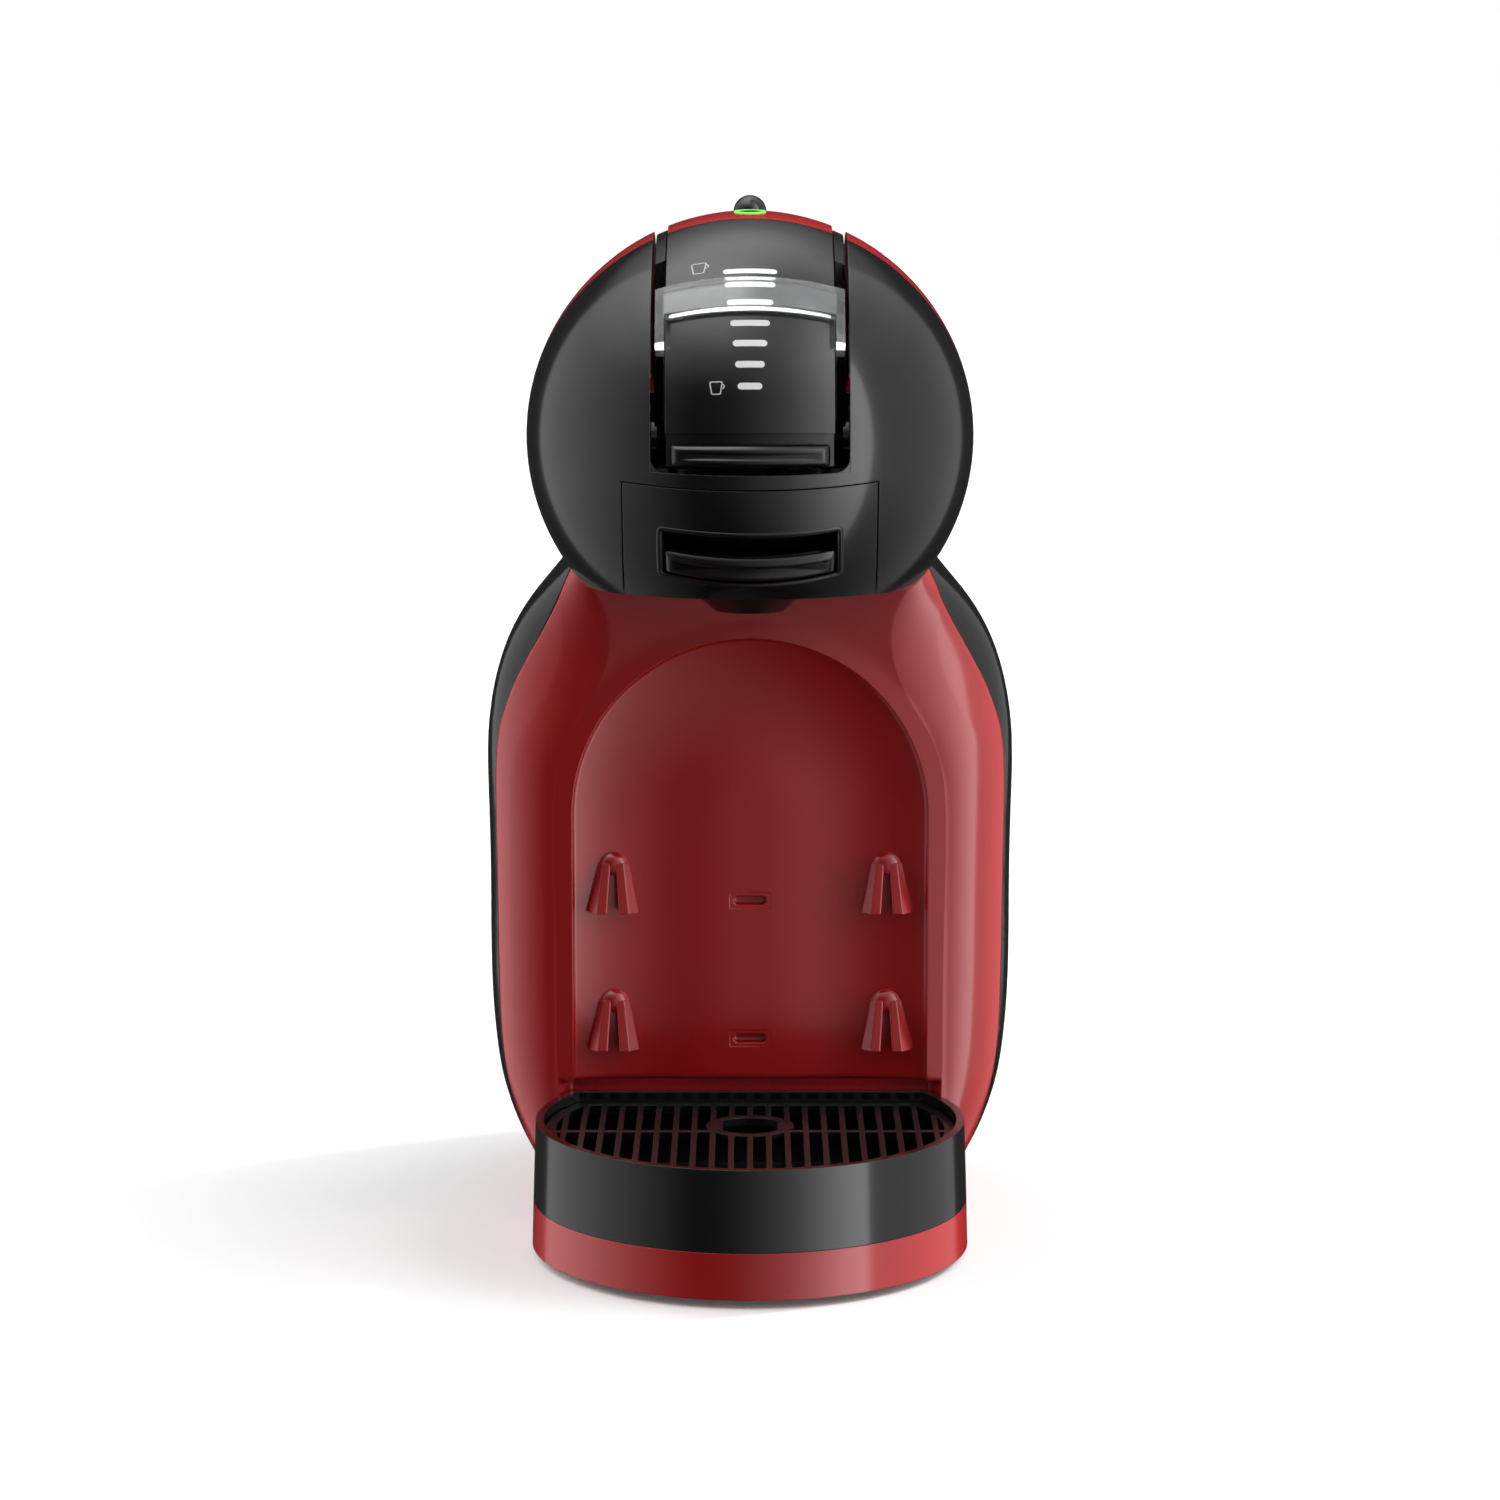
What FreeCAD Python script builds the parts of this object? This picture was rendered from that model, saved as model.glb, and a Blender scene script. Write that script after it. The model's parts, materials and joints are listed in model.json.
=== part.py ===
"""Pod coffee machine: a round head on an egg-shaped body, over a round drip tray.

Millimetres, +Z up, the user stands at -Y.  The origin is on the table, under the middle of the machine.
Angles about the head run from straight forward (-Y) at 0 degrees, up over the top at 90 degrees.
"""
import FreeCAD, Part
import math
import os

V = FreeCAD.Vector
X_AXIS = V(1, 0, 0)
Y_AXIS = V(0, 1, 0)
Z_AXIS = V(0, 0, 1)

# ---- driving dimensions ---------------------------------------------------------------------------
wall = 2.5                    # moulded shells
gap = 0.4                     # between shells that meet
running = 0.05                # radial clearance of a pin in its bore

head_y = -42.0                # centre of the round head
head_z = 240.0
head_radius = 65.3
head_bottom_z = 197.0         # the head is cut flat underneath
split_angle = 75.2            # the black face meets the red helmet here

arm_half_width = 23.6         # strip that carries display, cap and grip
slot_half_width = 27.8        # channel that the strip swings in
arm_front_angle = -4.8
arm_rear_angle = 113.0
channel_front_angle = -5.9
channel_rear_angle = 166.0
panel_front_angle = 4.5
grip_top_angle = 1.6
bar_angles = [16.0, 21.5, 27.0, 32.5, 38.0, 43.4, 48.7]
bar_half_widths = [3.4, 4.1, 4.8, 5.5, 6.4, 7.0, 7.6]
bar_height = 1.9
button_angle = 84.5
lever_angle = 94.5
lever_pivot_radius = 55.0

slider_low_angle = 35.9
slider_high_angle = 44.5
slider_clip_angle = 28.0
slider_half_width = 26.5
slider_radius = 68.0

drawer_half_width = 35.7
drawer_top_angle = -9.8
recess_top_angle = -22.0
recess_low_angle = -35.6
brew_y = -56.6                # axis of capsule, needle, nozzle, cup and tray
seat_rim_radius = 26.4
carrier_top_z = 227.5
carrier_low_z = 212.0

tray_radius_top = 63.4
tray_radius_low = 64.2
ring_radius_low = 64.6
tray_top_z = 39.4
ring_top_z = 15.5
ring_low_z = 2.0
tray_back_y = -22.3
grid_top_z = 36.2
grid_depth = 2.4
grid_pitch = 5.5
grid_bar = 1.7
cup_hole_radius = 10.0
cup_hole_half_width = 8.2

flange_y = -28.0              # flat front of the body
widest_y = -2.0
tank_front_y = 68.0
dock_y = 88.0
screw_x = 42.5
screw_heights = [40.0, 150.0]
tank_low_z = 21.0
tank_top_z = 170.0
part_y = -14.0                # red front shell meets the black rear shell

niche_radius = 53.5
niche_centre_z = 125.0
niche_low_z = 43.6
niche_edge_depth = 1.2
niche_depth = 5.2

hook_x = 41.2                 # wedge hooks that the tray can hang on
hook_heights = [53.0, 95.2]
hook_height = 18.0
hook_half_width_low = 7.2
hook_half_width_high = 4.0
notch_heights = [55.9, 98.4]
notch_half_width = 5.0
notch_half_height = 1.4

gland_x = -24.0               # rubber gland of the mains cord
gland_z = 9.6
gland_radius = 4.8
gland_length = 20.0
gland_end_y = 100.5
cord_radius = 3.0

foot_radius = 7.0
foot_places = [(-44, -74), (44, -74), (0, -104), (-38, 40), (38, 40), (0, 84)]
front_screws = [(-48, -50), (48, -50)]
chassis_screws = [(-34, -6), (34, -6), (-34, 54), (34, 54)]
screw_places = front_screws + chassis_screws
thread_radius = 1.5
screw_head_radius = 3.1

axle_radius = 4.0             # stub axles of the arm
cheek_inner_x = 30.5          # cheek plates that hold them
cheek_outer_x = 33.0
cheek_radius = 51.0
injector_stem_radius = 5.0
injector_plate_radius = 20.0
injector_rest_z = 230.6
needle_tip_z = 228.2
nozzle_low_z = 190.4
button_stem_radius = 3.0
lever_pin_radius = 1.2
lever_knob_radius = 4.8
rail_groove_z = (214.0, 218.0)

pump_x = 18.0                 # upright pump and the valve above it
pump_y = 24.0
pump_barrel_radius = 11.0
pump_bore_radius = 6.0
pump_water_radius = 1.5
pump_mount_radius = 15.0
pump_mount_heights = [36.5, 78.0]
valve_z = 103.0
meter_y = 51.0
pipe_port_z = 10.0
heater_x = -16.0
heater_y = 12.0
heater_low_z = 117.2
heater_top_z = 172.0
upright_x = 41.0
upright_top_z = 196.0
gallery_x = -4.0
gallery_z = 249.0

# Body stations from the table up: height, half width, half width of the flat front, back of the body.
body_stations = [
    (2.0, 52.0, 44.0, 99.0),
    (12.0, 63.6, 51.5, 108.5),
    (24.0, 70.6, 56.0, 115.0),
    (40.0, 76.2, 58.0, 119.3),
    (62.0, 79.0, 58.3, 121.4),
    (96.0, 79.6, 58.6, 121.8),
    (128.0, 80.0, 58.7, 118.4),
    (148.0, 79.9, 54.6, 111.6),
    (163.0, 77.7, 46.0, 103.2),
    (176.0, 73.6, 42.3, 93.4),
    (188.0, 66.9, 44.2, 81.5),
    (198.0, 58.8, 48.3, 69.5),
    (209.0, 51.0, 46.0, 55.0),
    (220.0, 41.0, 40.0, 38.5),
    (230.0, 26.0, 24.0, 20.0),
]


# ---- small helpers --------------------------------------------------------------------------------
def box(x0, x1, y0, y1, z0, z1):
    return Part.makeBox(x1 - x0, y1 - y0, z1 - z0, V(x0, y0, z0))


def rod(radius, start, end):
    axis = end.sub(start)
    return Part.makeCylinder(radius, axis.Length, start, axis)


def cone(radius_low, radius_high, start, end):
    if radius_low == radius_high:
        return rod(radius_low, start, end)
    axis = end.sub(start)
    return Part.makeCone(radius_low, radius_high, axis.Length, start, axis)


def join(shapes):
    """One shape from several that touch or overlap."""
    first = shapes[0]
    if len(shapes) == 1:
        return first
    return first.multiFuse(shapes[1:]).removeSplitter()


def both_sides(shape):
    """The shape and its mirror image across the middle plane x = 0."""
    return [shape, shape.mirror(V(0, 0, 0), X_AXIS)]


def prism_x(points, x0, x1):
    """A closed outline of (y, z) points, pushed along X."""
    outline = Part.makePolygon([V(x0, y, z) for y, z in points + points[:1]])
    return Part.Face(outline).extrude(V(x1 - x0, 0, 0))


def prism_y(points, y0, y1):
    """A closed outline of (x, z) points, pushed along Y."""
    outline = Part.makePolygon([V(x, y0, z) for x, z in points + points[:1]])
    return Part.Face(outline).extrude(V(0, y1 - y0, 0))


def head_point(angle, radius, x=0.0):
    """A point at an angle and a distance from the head's cross axis."""
    turn = math.radians(angle)
    return V(x, head_y - radius * math.cos(turn), head_z + radius * math.sin(turn))


def outward(angle):
    turn = math.radians(angle)
    return V(0, -math.cos(turn), math.sin(turn))


def upward(angle):
    turn = math.radians(angle)
    return V(0, math.sin(turn), math.cos(turn))


def ball(radius):
    return Part.makeSphere(radius, V(0, head_y, head_z))


def sector(angle_low, angle_high, x0, x1, radius_in=0.0, radius_out=90.0):
    """A slice of a disc about the head's cross axis, between two angles and two radii."""
    middle = 0.5 * (angle_low + angle_high)
    outer = Part.Arc(
        head_point(angle_low, radius_out, x0),
        head_point(middle, radius_out, x0),
        head_point(angle_high, radius_out, x0),
    ).toShape()
    if radius_in > 0.0:
        inner = Part.Arc(
            head_point(angle_high, radius_in, x0),
            head_point(middle, radius_in, x0),
            head_point(angle_low, radius_in, x0),
        ).toShape()
        first = Part.makeLine(head_point(angle_high, radius_out, x0), head_point(angle_high, radius_in, x0))
        last = Part.makeLine(head_point(angle_low, radius_in, x0), head_point(angle_low, radius_out, x0))
        edges = [outer, first, inner, last]
    else:
        centre = head_point(0.0, 0.0, x0)
        first = Part.makeLine(head_point(angle_high, radius_out, x0), centre)
        last = Part.makeLine(centre, head_point(angle_low, radius_out, x0))
        edges = [outer, first, last]
    return Part.Face(Part.Wire(edges)).extrude(V(x1 - x0, 0, 0))


def head_shell(radius_out, radius_in):
    return ball(radius_out).cut(ball(radius_in))


def head_room():
    """The flat-bottomed ball that the body leaves clear for the head."""
    return ball(head_radius + gap).common(box(-90, 90, -120, 60, head_bottom_z - 0.2, 320))


def stadium(angle, half_width, half_height, radius_low, radius_high):
    """A rounded bar that stands radially out of the head at an angle."""
    base = head_point(angle, radius_low)
    up = upward(angle)
    side = half_width - half_height
    right = base.add(V(side, 0, 0))
    left = base.add(V(-side, 0, 0))
    lift = V(up.x * half_height, up.y * half_height, up.z * half_height)
    edges = [
        Part.makeLine(left.add(lift), right.add(lift)),
        Part.Arc(right.add(lift), right.add(V(half_height, 0, 0)), right.sub(lift)).toShape(),
        Part.makeLine(right.sub(lift), left.sub(lift)),
        Part.Arc(left.sub(lift), left.add(V(-half_height, 0, 0)), left.add(lift)).toShape(),
    ]
    out = outward(angle)
    reach = radius_high - radius_low
    return Part.Face(Part.Wire(edges)).extrude(V(0, out.y * reach, out.z * reach))


def hose(points, radius, bore):
    """A tube along straight runs joined by tangent arcs, each as large as its two runs allow."""
    edges = []
    start = points[0]
    for before, corner, after in zip(points, points[1:], points[2:]):
        towards = corner.sub(before)
        away = after.sub(corner)
        turn = towards.getAngle(away)
        shorter = min(towards.Length, away.Length)
        trim = 0.45 * shorter
        bend = trim / math.tan(turn / 2)
        towards.normalize()
        away.normalize()
        arc_start = corner.sub(V(towards).multiply(trim))
        arc_end = corner.add(V(away).multiply(trim))
        inward = V(away).sub(towards)
        inward.normalize()
        depth = bend / math.cos(turn / 2) - bend
        edges.append(Part.makeLine(start, arc_start))
        edges.append(Part.Arc(arc_start, corner.add(inward.multiply(depth)), arc_end).toShape())
        start = arc_end
    edges.append(Part.makeLine(start, points[-1]))
    path = Part.Wire(edges)
    direction = points[1].sub(points[0])
    outer = Part.Wire(Part.makeCircle(radius, points[0], direction))
    inner = Part.Wire(Part.makeCircle(bore, points[0], direction))
    return path.makePipeShell([outer], True, True).cut(path.makePipeShell([inner], True, True))


def bezier(points, z):
    curve = Part.BezierCurve()
    curve.setPoles([V(x, y, z) for x, y in points])
    return curve.toShape()


def plan_section(station, inset):
    """Body outline at one height: flat front, round front corners, half-oval back."""
    z, half_width, flat_half_width, back_y = station
    wide = half_width - inset
    flat = flat_half_width - 0.6 * inset
    front = flange_y + inset
    back = back_y - inset
    corner = wide - flat
    lean = math.tan(math.radians(12.0))
    front_pull = 0.475 * (widest_y - front)
    back_pull = 0.552 * (back - widest_y)
    side = 0.6 * corner
    right_corner = [(flat, front), (flat + side, front + side * lean),
                    (wide, widest_y - front_pull), (wide, widest_y)]
    right_back = [(wide, widest_y), (wide, widest_y + back_pull), (0.552 * wide, back), (0.0, back)]
    left_back = [(-x, y) for x, y in reversed(right_back)]
    left_corner = [(-x, y) for x, y in reversed(right_corner)]
    edges = [
        Part.makeLine(V(-flat, front, z), V(flat, front, z)),
        bezier(right_corner, z),
        bezier(right_back, z),
        bezier(left_back, z),
        bezier(left_corner, z),
    ]
    return Part.Wire(edges)


def body(inset=0.0):
    """The egg-shaped body as one solid, its surface set in by a distance."""
    sections = [plan_section(station, inset) for station in body_stations]
    return Part.makeLoft(sections, True, False)


def in_front_of_parting():
    """Everything in front of the line where the red and black shells meet; it leans forward at the top."""
    top = body_stations[-1][0] + 20.0
    curve = Part.BezierCurve()
    curve.setPoles([V(-95, part_y, 125), V(-95, part_y, 160), V(-95, -19, 178), V(-95, -24, 205)])
    edges = [
        Part.makeLine(V(-95, -80, -5), V(-95, part_y, -5)),
        Part.makeLine(V(-95, part_y, -5), V(-95, part_y, 125)),
        curve.toShape(),
        Part.makeLine(V(-95, -24, 205), V(-95, -24, top)),
        Part.makeLine(V(-95, -24, top), V(-95, -80, top)),
        Part.makeLine(V(-95, -80, top), V(-95, -80, -5)),
    ]
    return Part.Face(Part.Wire(edges)).extrude(V(190, 0, 0))


nodes = {}


def keep(name, shape):
    nodes[name] = shape


body_outside = body()
body_inside = body(wall)


# ---- base -----------------------------------------------------------------------------------------
def ring_plan(radius_low, radius_high, z0, z1):
    return cone(radius_low, radius_high, V(0, brew_y, z0), V(0, brew_y, z1))


def make_base():
    """Red base: a round front under the tray, and a rim that follows the body behind it."""
    slab = box(-90, 90, -140, 140, ring_low_z, ring_top_z)
    tray_ring = ring_plan(ring_radius_low, tray_radius_low, ring_low_z, ring_top_z)
    outside = join([tray_ring, body_outside.common(slab)])
    inside_low = ring_plan(ring_radius_low - wall, ring_radius_low - wall, 0, ring_top_z - wall)
    inside_rear = body_inside.common(box(-90, 90, -24, 140, 0, ring_top_z + 1))
    gland_hole = rod(gland_radius, V(gland_x, 80, gland_z), V(gland_x, 115, gland_z))
    gland_seat = rod(gland_radius + 1.0, V(gland_x, gland_end_y - 2.0, gland_z), V(gland_x, 115, gland_z))
    bosses = [rod(4.0, V(x, y, 4.6), V(x, y, ring_top_z - 1)) for x, y in front_screws]
    frame = join([outside.cut(inside_low).cut(inside_rear)] + bosses)
    for x, y in front_screws:
        frame = frame.cut(rod(thread_radius, V(x, y, 0), V(x, y, 9.0)))
    return frame.cut(gland_hole).cut(gland_seat)


def make_base_plate():
    """Black floor that closes the base from below; the chassis stands on it."""
    slab = box(-90, 90, -140, 140, ring_low_z, 4.5)
    front = ring_plan(ring_radius_low - wall - 0.2, ring_radius_low - wall - 0.2, 0, 10)
    rear = body(wall + 0.2).common(box(-90, 90, -23.8, 140, 0, 10))
    plate = join([front, rear]).common(slab)
    for x, y in screw_places:
        plate = plate.cut(rod(1.7, V(x, y, 0), V(x, y, 10)))
        plate = plate.cut(rod(screw_head_radius + 0.3, V(x, y, 0), V(x, y, 3.2)))
    return plate


def make_feet():
    return Part.makeCompound([rod(foot_radius, V(x, y, 0), V(x, y, ring_low_z)) for x, y in foot_places])


def make_base_screws():
    """Pan-head screws, up through the floor."""
    screws = []
    for x, y in screw_places:
        head = rod(screw_head_radius, V(x, y, 2.2), V(x, y, 3.2))
        shank = rod(thread_radius, V(x, y, 3.2), V(x, y, 6.6))
        cross = box(x - 1.6, x + 1.6, y - 0.35, y + 0.35, 2.0, 2.7)
        screws.append(join([head, shank]).cut(cross))
    return Part.makeCompound(screws)


def make_gland():
    """Rubber gland where the mains cord leaves, low at the back."""
    end = V(gland_x, gland_end_y, gland_z)
    sleeve = rod(gland_radius, V(gland_x, gland_end_y - gland_length, gland_z), end)
    collar = rod(gland_radius + 1.0, V(gland_x, gland_end_y - 2.0, gland_z), end)
    bore = rod(cord_radius, V(gland_x, 80, gland_z), V(gland_x, 110, gland_z))
    return join([sleeve, collar]).cut(bore)


# ---- drip tray and grid ---------------------------------------------------------------------------
def tray_radius(z):
    """Radius of the tray's slightly tapered outside at a height."""
    share = (z - ring_top_z) / (tray_top_z - ring_top_z)
    return tray_radius_low + share * (tray_radius_top - tray_radius_low)


def tray_plan(shrink, z0, z1, back_y):
    """Round plan of the tray, cut straight across at the back."""
    disc = ring_plan(tray_radius(z0) - shrink, tray_radius(z1) - shrink, z0, z1)
    return disc.common(box(-80, 80, -140, back_y, z0 - 1, z1 + 1))


def make_tray():
    low = ring_top_z + 0.1
    outside = tray_plan(0.0, low, tray_top_z, tray_back_y)
    inside = tray_plan(2.4, low + 2.2, tray_top_z + 1, tray_back_y - 2.4)
    ledge = tray_plan(2.0, low + 2.2, grid_top_z - grid_depth - 0.1, tray_back_y - 2.0)
    ledge = ledge.cut(tray_plan(5.0, low, tray_top_z, tray_back_y - 5.0))
    return join([outside.cut(inside), ledge])


def make_grid():
    """Slotted grid: bars run front to back, one cross bar, and a round boss with the drip hole."""
    low = grid_top_z - grid_depth
    plate = tray_plan(2.8, low, grid_top_z, tray_back_y - 2.8)
    field = tray_plan(6.0, low - 1, grid_top_z + 1, tray_back_y - 6.0)
    boss = rod(13.0, V(0, brew_y + 2.5, low), V(0, brew_y + 2.5, grid_top_z))
    cross_bar = box(-60, 60, brew_y - 5.2, brew_y - 3.0, low, grid_top_z)
    bars = [cross_bar, boss]
    count = int(56.0 / grid_pitch)
    for index in range(-count, count + 1):
        x = index * grid_pitch
        bars.append(box(x - grid_bar / 2, x + grid_bar / 2, -130, 0, low, grid_top_z))
    grille = join(bars).common(field)
    rim = plate.cut(field)
    hole = rod(cup_hole_radius, V(0, brew_y + 2.5, low - 1), V(0, brew_y + 2.5, grid_top_z + 1))
    hole = hole.common(box(-cup_hole_half_width, cup_hole_half_width, -90, -20, 0, 60))
    return join([rim, grille]).cut(hole)


# ---- body shells ----------------------------------------------------------------------------------
def niche(grow=0.0):
    """Shallow dish for the cup: an arch in outline, dished like a barrel below and a ball above."""
    radius = niche_radius + grow
    arch = join([
        rod(radius, V(0, flange_y - 12, niche_centre_z), V(0, 0, niche_centre_z)),
        box(-radius, radius, flange_y - 12, 0, niche_low_z - grow, niche_centre_z),
    ])
    sag = niche_depth - niche_edge_depth
    bowl_radius = (niche_radius ** 2 + sag ** 2) / (2 * sag)
    centre = V(0, flange_y + niche_depth - bowl_radius, niche_centre_z)
    barrel = Part.makeCylinder(bowl_radius + grow, 140, centre.sub(V(0, 0, 140)))
    dome = Part.makeSphere(bowl_radius + grow, centre).common(box(-90, 90, -60, 10, niche_centre_z, 230))
    return arch.common(join([barrel.common(box(-90, 90, -60, 10, 0, niche_centre_z)), dome]))


def tray_bay(grow=0.0):
    """The room behind the tray, open to the niche above it."""
    radius = tray_radius_low + 0.6 + grow
    disc = ring_plan(radius, radius, ring_top_z, niche_low_z + grow)
    return disc.common(box(-90, 90, flange_y - 10, tray_back_y + 0.8 + grow, 0, 60))


def hook(x, z, side):
    """Wedge hook of two legs under a rounded hood; the tray can hang on a pair of them."""
    low = hook_half_width_low
    high = hook_half_width_high
    top = z + hook_height
    surface_y = flange_y + 3.4
    front_y = surface_y - 10
    wedge = prism_y([(x - low, z), (x + low, z), (x + high, top), (x - high, top)],
                    surface_y - 6.0, surface_y)
    slope = prism_x([(front_y, z - 1), (surface_y - 5.6, z - 1),
                     (surface_y - 2.0, top + 1), (front_y, top + 1)], x - 10, x + 10)
    slot = prism_y([(x - 1.9, z - 1), (x + 1.9, z - 1), (x + 0.7 * side, z + 0.75 * hook_height)],
                   surface_y - 8, surface_y - 0.8)
    return wedge.cut(slope).cut(slot)


def make_front_shell():
    zone = in_front_of_parting().common(box(-95, 95, flange_y + 0.01, 40, ring_top_z, 200.0))
    outside = body_outside.common(zone)
    skin = outside.cut(body_inside)
    pan = join([niche(wall), tray_bay(wall)]).common(outside)
    shell = join([skin, pan]).cut(niche()).cut(tray_bay())
    hooks = [hook(side * hook_x, z, side) for side in (-1, 1) for z in hook_heights]
    shell = join([shell] + hooks)
    for z in notch_heights:
        notch = box(-notch_half_width, notch_half_width, flange_y - 5, 0,
                    z - notch_half_height, z + notch_half_height)
        shell = shell.cut(notch)
    return shell.cut(head_room())


def make_rear_shell():
    """Black shell: sides, back wall behind the machinery, dock under the tank, and crown behind the head."""
    behind = body_outside.cut(in_front_of_parting().common(box(-95, 95, -80, 40, -5, 250)))
    tank_room = box(-90, 90, tank_front_y, 150, tank_low_z, 260)
    solid = behind.common(box(-95, 95, -60, 150, ring_top_z, 260)).cut(tank_room)
    cavity = body_inside.cut(box(-90, 90, tank_front_y - wall, 150, tank_low_z - wall, 260))
    shell = solid.cut(cavity).cut(head_room())
    for x in (-screw_x, screw_x):
        for z in screw_heights:
            shell = shell.cut(rod(3.3, V(x, tank_front_y - 1.4, z), V(x, tank_front_y + 1, z)))
            shell = shell.cut(rod(1.6, V(x, tank_front_y - 5, z), V(x, tank_front_y, z)))
    socket_hole = rod(9.0, V(0, dock_y, 10), V(0, dock_y, 30))
    return shell.cut(socket_hole)


# ---- head -----------------------------------------------------------------------------------------
def channel(side_x0, side_x1, angle_low, angle_high, radius_in=47.0):
    """Side walls of the channel that the arm swings in."""
    plate = sector(angle_low, angle_high, side_x0, side_x1, radius_in, 70.0)
    return both_sides(plate.common(ball(head_radius - 1.0)))


def make_face():
    front = sector(split_angle - 179.9, split_angle, -80, 80)
    shell = head_shell(head_radius, head_radius - wall).common(front)
    shell = shell.common(box(-80, 80, -120, 40, head_bottom_z, 320))
    walls = channel(slot_half_width, slot_half_width + 1.5, channel_front_angle, split_angle)
    sill = sector(channel_front_angle - 1.3, channel_front_angle,
                  -slot_half_width - 1.5, slot_half_width + 1.5, 54.0, 70.0)
    sill = sill.common(ball(head_radius - 1.0))
    slot = sector(channel_front_angle, 100, -slot_half_width, slot_half_width)
    opening = sector(-120, drawer_top_angle + 0.35, -drawer_half_width - gap, drawer_half_width + gap, 45.0)
    body_room = body_outside.common(box(-90, 90, flange_y - 1, 60, 150, 201))
    return join([shell.cut(slot)] + walls + [sill]).cut(slot).cut(opening).cut(body_room)


def make_helmet():
    rear = sector(split_angle + 0.15, split_angle + 179.9, -80, 80)
    shell = head_shell(head_radius, head_radius - wall).common(rear)
    shell = shell.common(box(-80, 80, -120, 40, head_bottom_z + 1, 320))
    slot = sector(60, channel_rear_angle, -slot_half_width, slot_half_width)
    walls = channel(slot_half_width, slot_half_width + 1.5, split_angle, channel_rear_angle)
    neck = box(-34, 34, -12, 40, 190, 226)
    return join([shell.cut(slot)] + walls).cut(slot).cut(neck)


def make_channel_floor():
    """Dark curved floor under the rear of the channel, behind the arm."""
    return sector(arm_rear_angle - 8.0, channel_rear_angle - 4.0, -20.6, 20.6, 49.5, 51.0)


def make_underside():
    """Flat underside of the head, open in the middle where the drawer runs."""
    floor = box(-60, 60, -110, flange_y - 0.4, head_bottom_z, head_bottom_z + 2)
    plate = ball(head_radius - wall - 0.2).common(floor)
    way = box(-drawer_half_width - gap, drawer_half_width + gap, -120, -25.0, 190, 205)
    side_plates = plate.cut(way)
    return Part.makeCompound(side_plates.Solids)


def make_brew_frame():
    """Two cheek plates that hold the arm's axles, and a rear plate down into the neck."""
    disc = rod(cheek_radius, V(cheek_inner_x, head_y, head_z), V(cheek_outer_x, head_y, head_z))
    cheek = disc.common(box(20, 40, -120, 20, 229.5, 300))
    window = rod(13.0, V(25, head_y - 24, 256), V(40, head_y - 24, 256))
    window_rear = rod(11.0, V(25, head_y + 20, 262), V(40, head_y + 20, 262))
    axle_hole = rod(axle_radius, V(25, head_y, head_z), V(40, head_y, head_z))
    cheek = cheek.cut(window).cut(window_rear).cut(axle_hole)
    rear = box(-cheek_outer_x, cheek_outer_x, 0.0, 3.0, upright_top_z, 250.0)
    rear = rear.cut(rod(2.2, V(gallery_x, -5, gallery_z), V(gallery_x, 10, gallery_z)))
    return join(both_sides(cheek) + [rear])


def make_axles():
    """Stub axles of the arm, one in each cheek."""
    pin = rod(axle_radius, V(20.8, head_y, head_z), V(35.0, head_y, head_z))
    collar = rod(axle_radius + 2.5, V(cheek_outer_x, head_y, head_z), V(35.0, head_y, head_z))
    return Part.makeCompound(both_sides(join([pin, collar])))


def make_rails():
    """Guide rails on both sides of the drawer, each with a groove for its tongue."""
    rail = box(33.5, 36.5, -88, -24, 200.0, 229.4)
    lip = box(30.5, 36.5, -88, -24, 228.0, 229.4)
    groove = box(33.0, 35.2, -120, -20, rail_groove_z[0], rail_groove_z[1])
    rail = join([rail, lip]).cut(groove).common(ball(head_radius - wall - 0.2))
    rail = rail.cut(sector(-120, drawer_top_angle + 2.0, -80, 80, 60.0))
    return Part.makeCompound(both_sides(rail))


def make_injector_guide():
    """Manifold that reaches forward over the capsule; its bore guides the injector."""
    block = box(-9, 9, brew_y - 9, 0.0, 246.0, 258.0)
    bore = rod(injector_stem_radius + running, V(0, brew_y, 240), V(0, brew_y, 257.0))
    gallery = rod(1.5, V(gallery_x, brew_y + 4, gallery_z), V(gallery_x, 1, gallery_z))
    return block.cut(bore).cut(gallery)


# ---- arm ------------------------------------------------------------------------------------------
def arm_strip(radius_out, radius_in, angle_low, angle_high, half_width=arm_half_width):
    return head_shell(radius_out, radius_in).common(sector(angle_low, angle_high, -half_width, half_width))


def button_hole(radius):
    return rod(radius, head_point(button_angle, 50), head_point(button_angle, 75))


def lever_slot(half_long, half_wide):
    return stadium(lever_angle, half_long, half_wide, 50, 75)


def make_arm_cap():
    cap = arm_strip(head_radius, head_radius - wall, split_angle + 0.2, arm_rear_angle)
    return cap.cut(button_hole(4.7)).cut(lever_slot(9.0, 5.3))


def make_panel():
    panel = arm_strip(head_radius, head_radius - 2.0, panel_front_angle, split_angle - 0.2)
    for angle, half_width in zip(bar_angles, bar_half_widths):
        panel = panel.cut(stadium(angle, half_width, bar_height / 2, 60, 70))
    return panel


def make_light_bars():
    """Seven light windows of growing width, flush with the display panel."""
    skin = head_shell(head_radius, head_radius - 1.6)
    bars = []
    for angle, half_width in zip(bar_angles, bar_half_widths):
        bars.append(stadium(angle, half_width, bar_height / 2, 60, 70).common(skin))
    return Part.makeCompound(bars)


def make_led_board():
    board = arm_strip(60.0, 59.2, 12, 53, 12.0)
    leds = [stadium(angle, 1.5, 0.9, 59.6, 61.2) for angle in bar_angles]
    return join([board] + leds)


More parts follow.
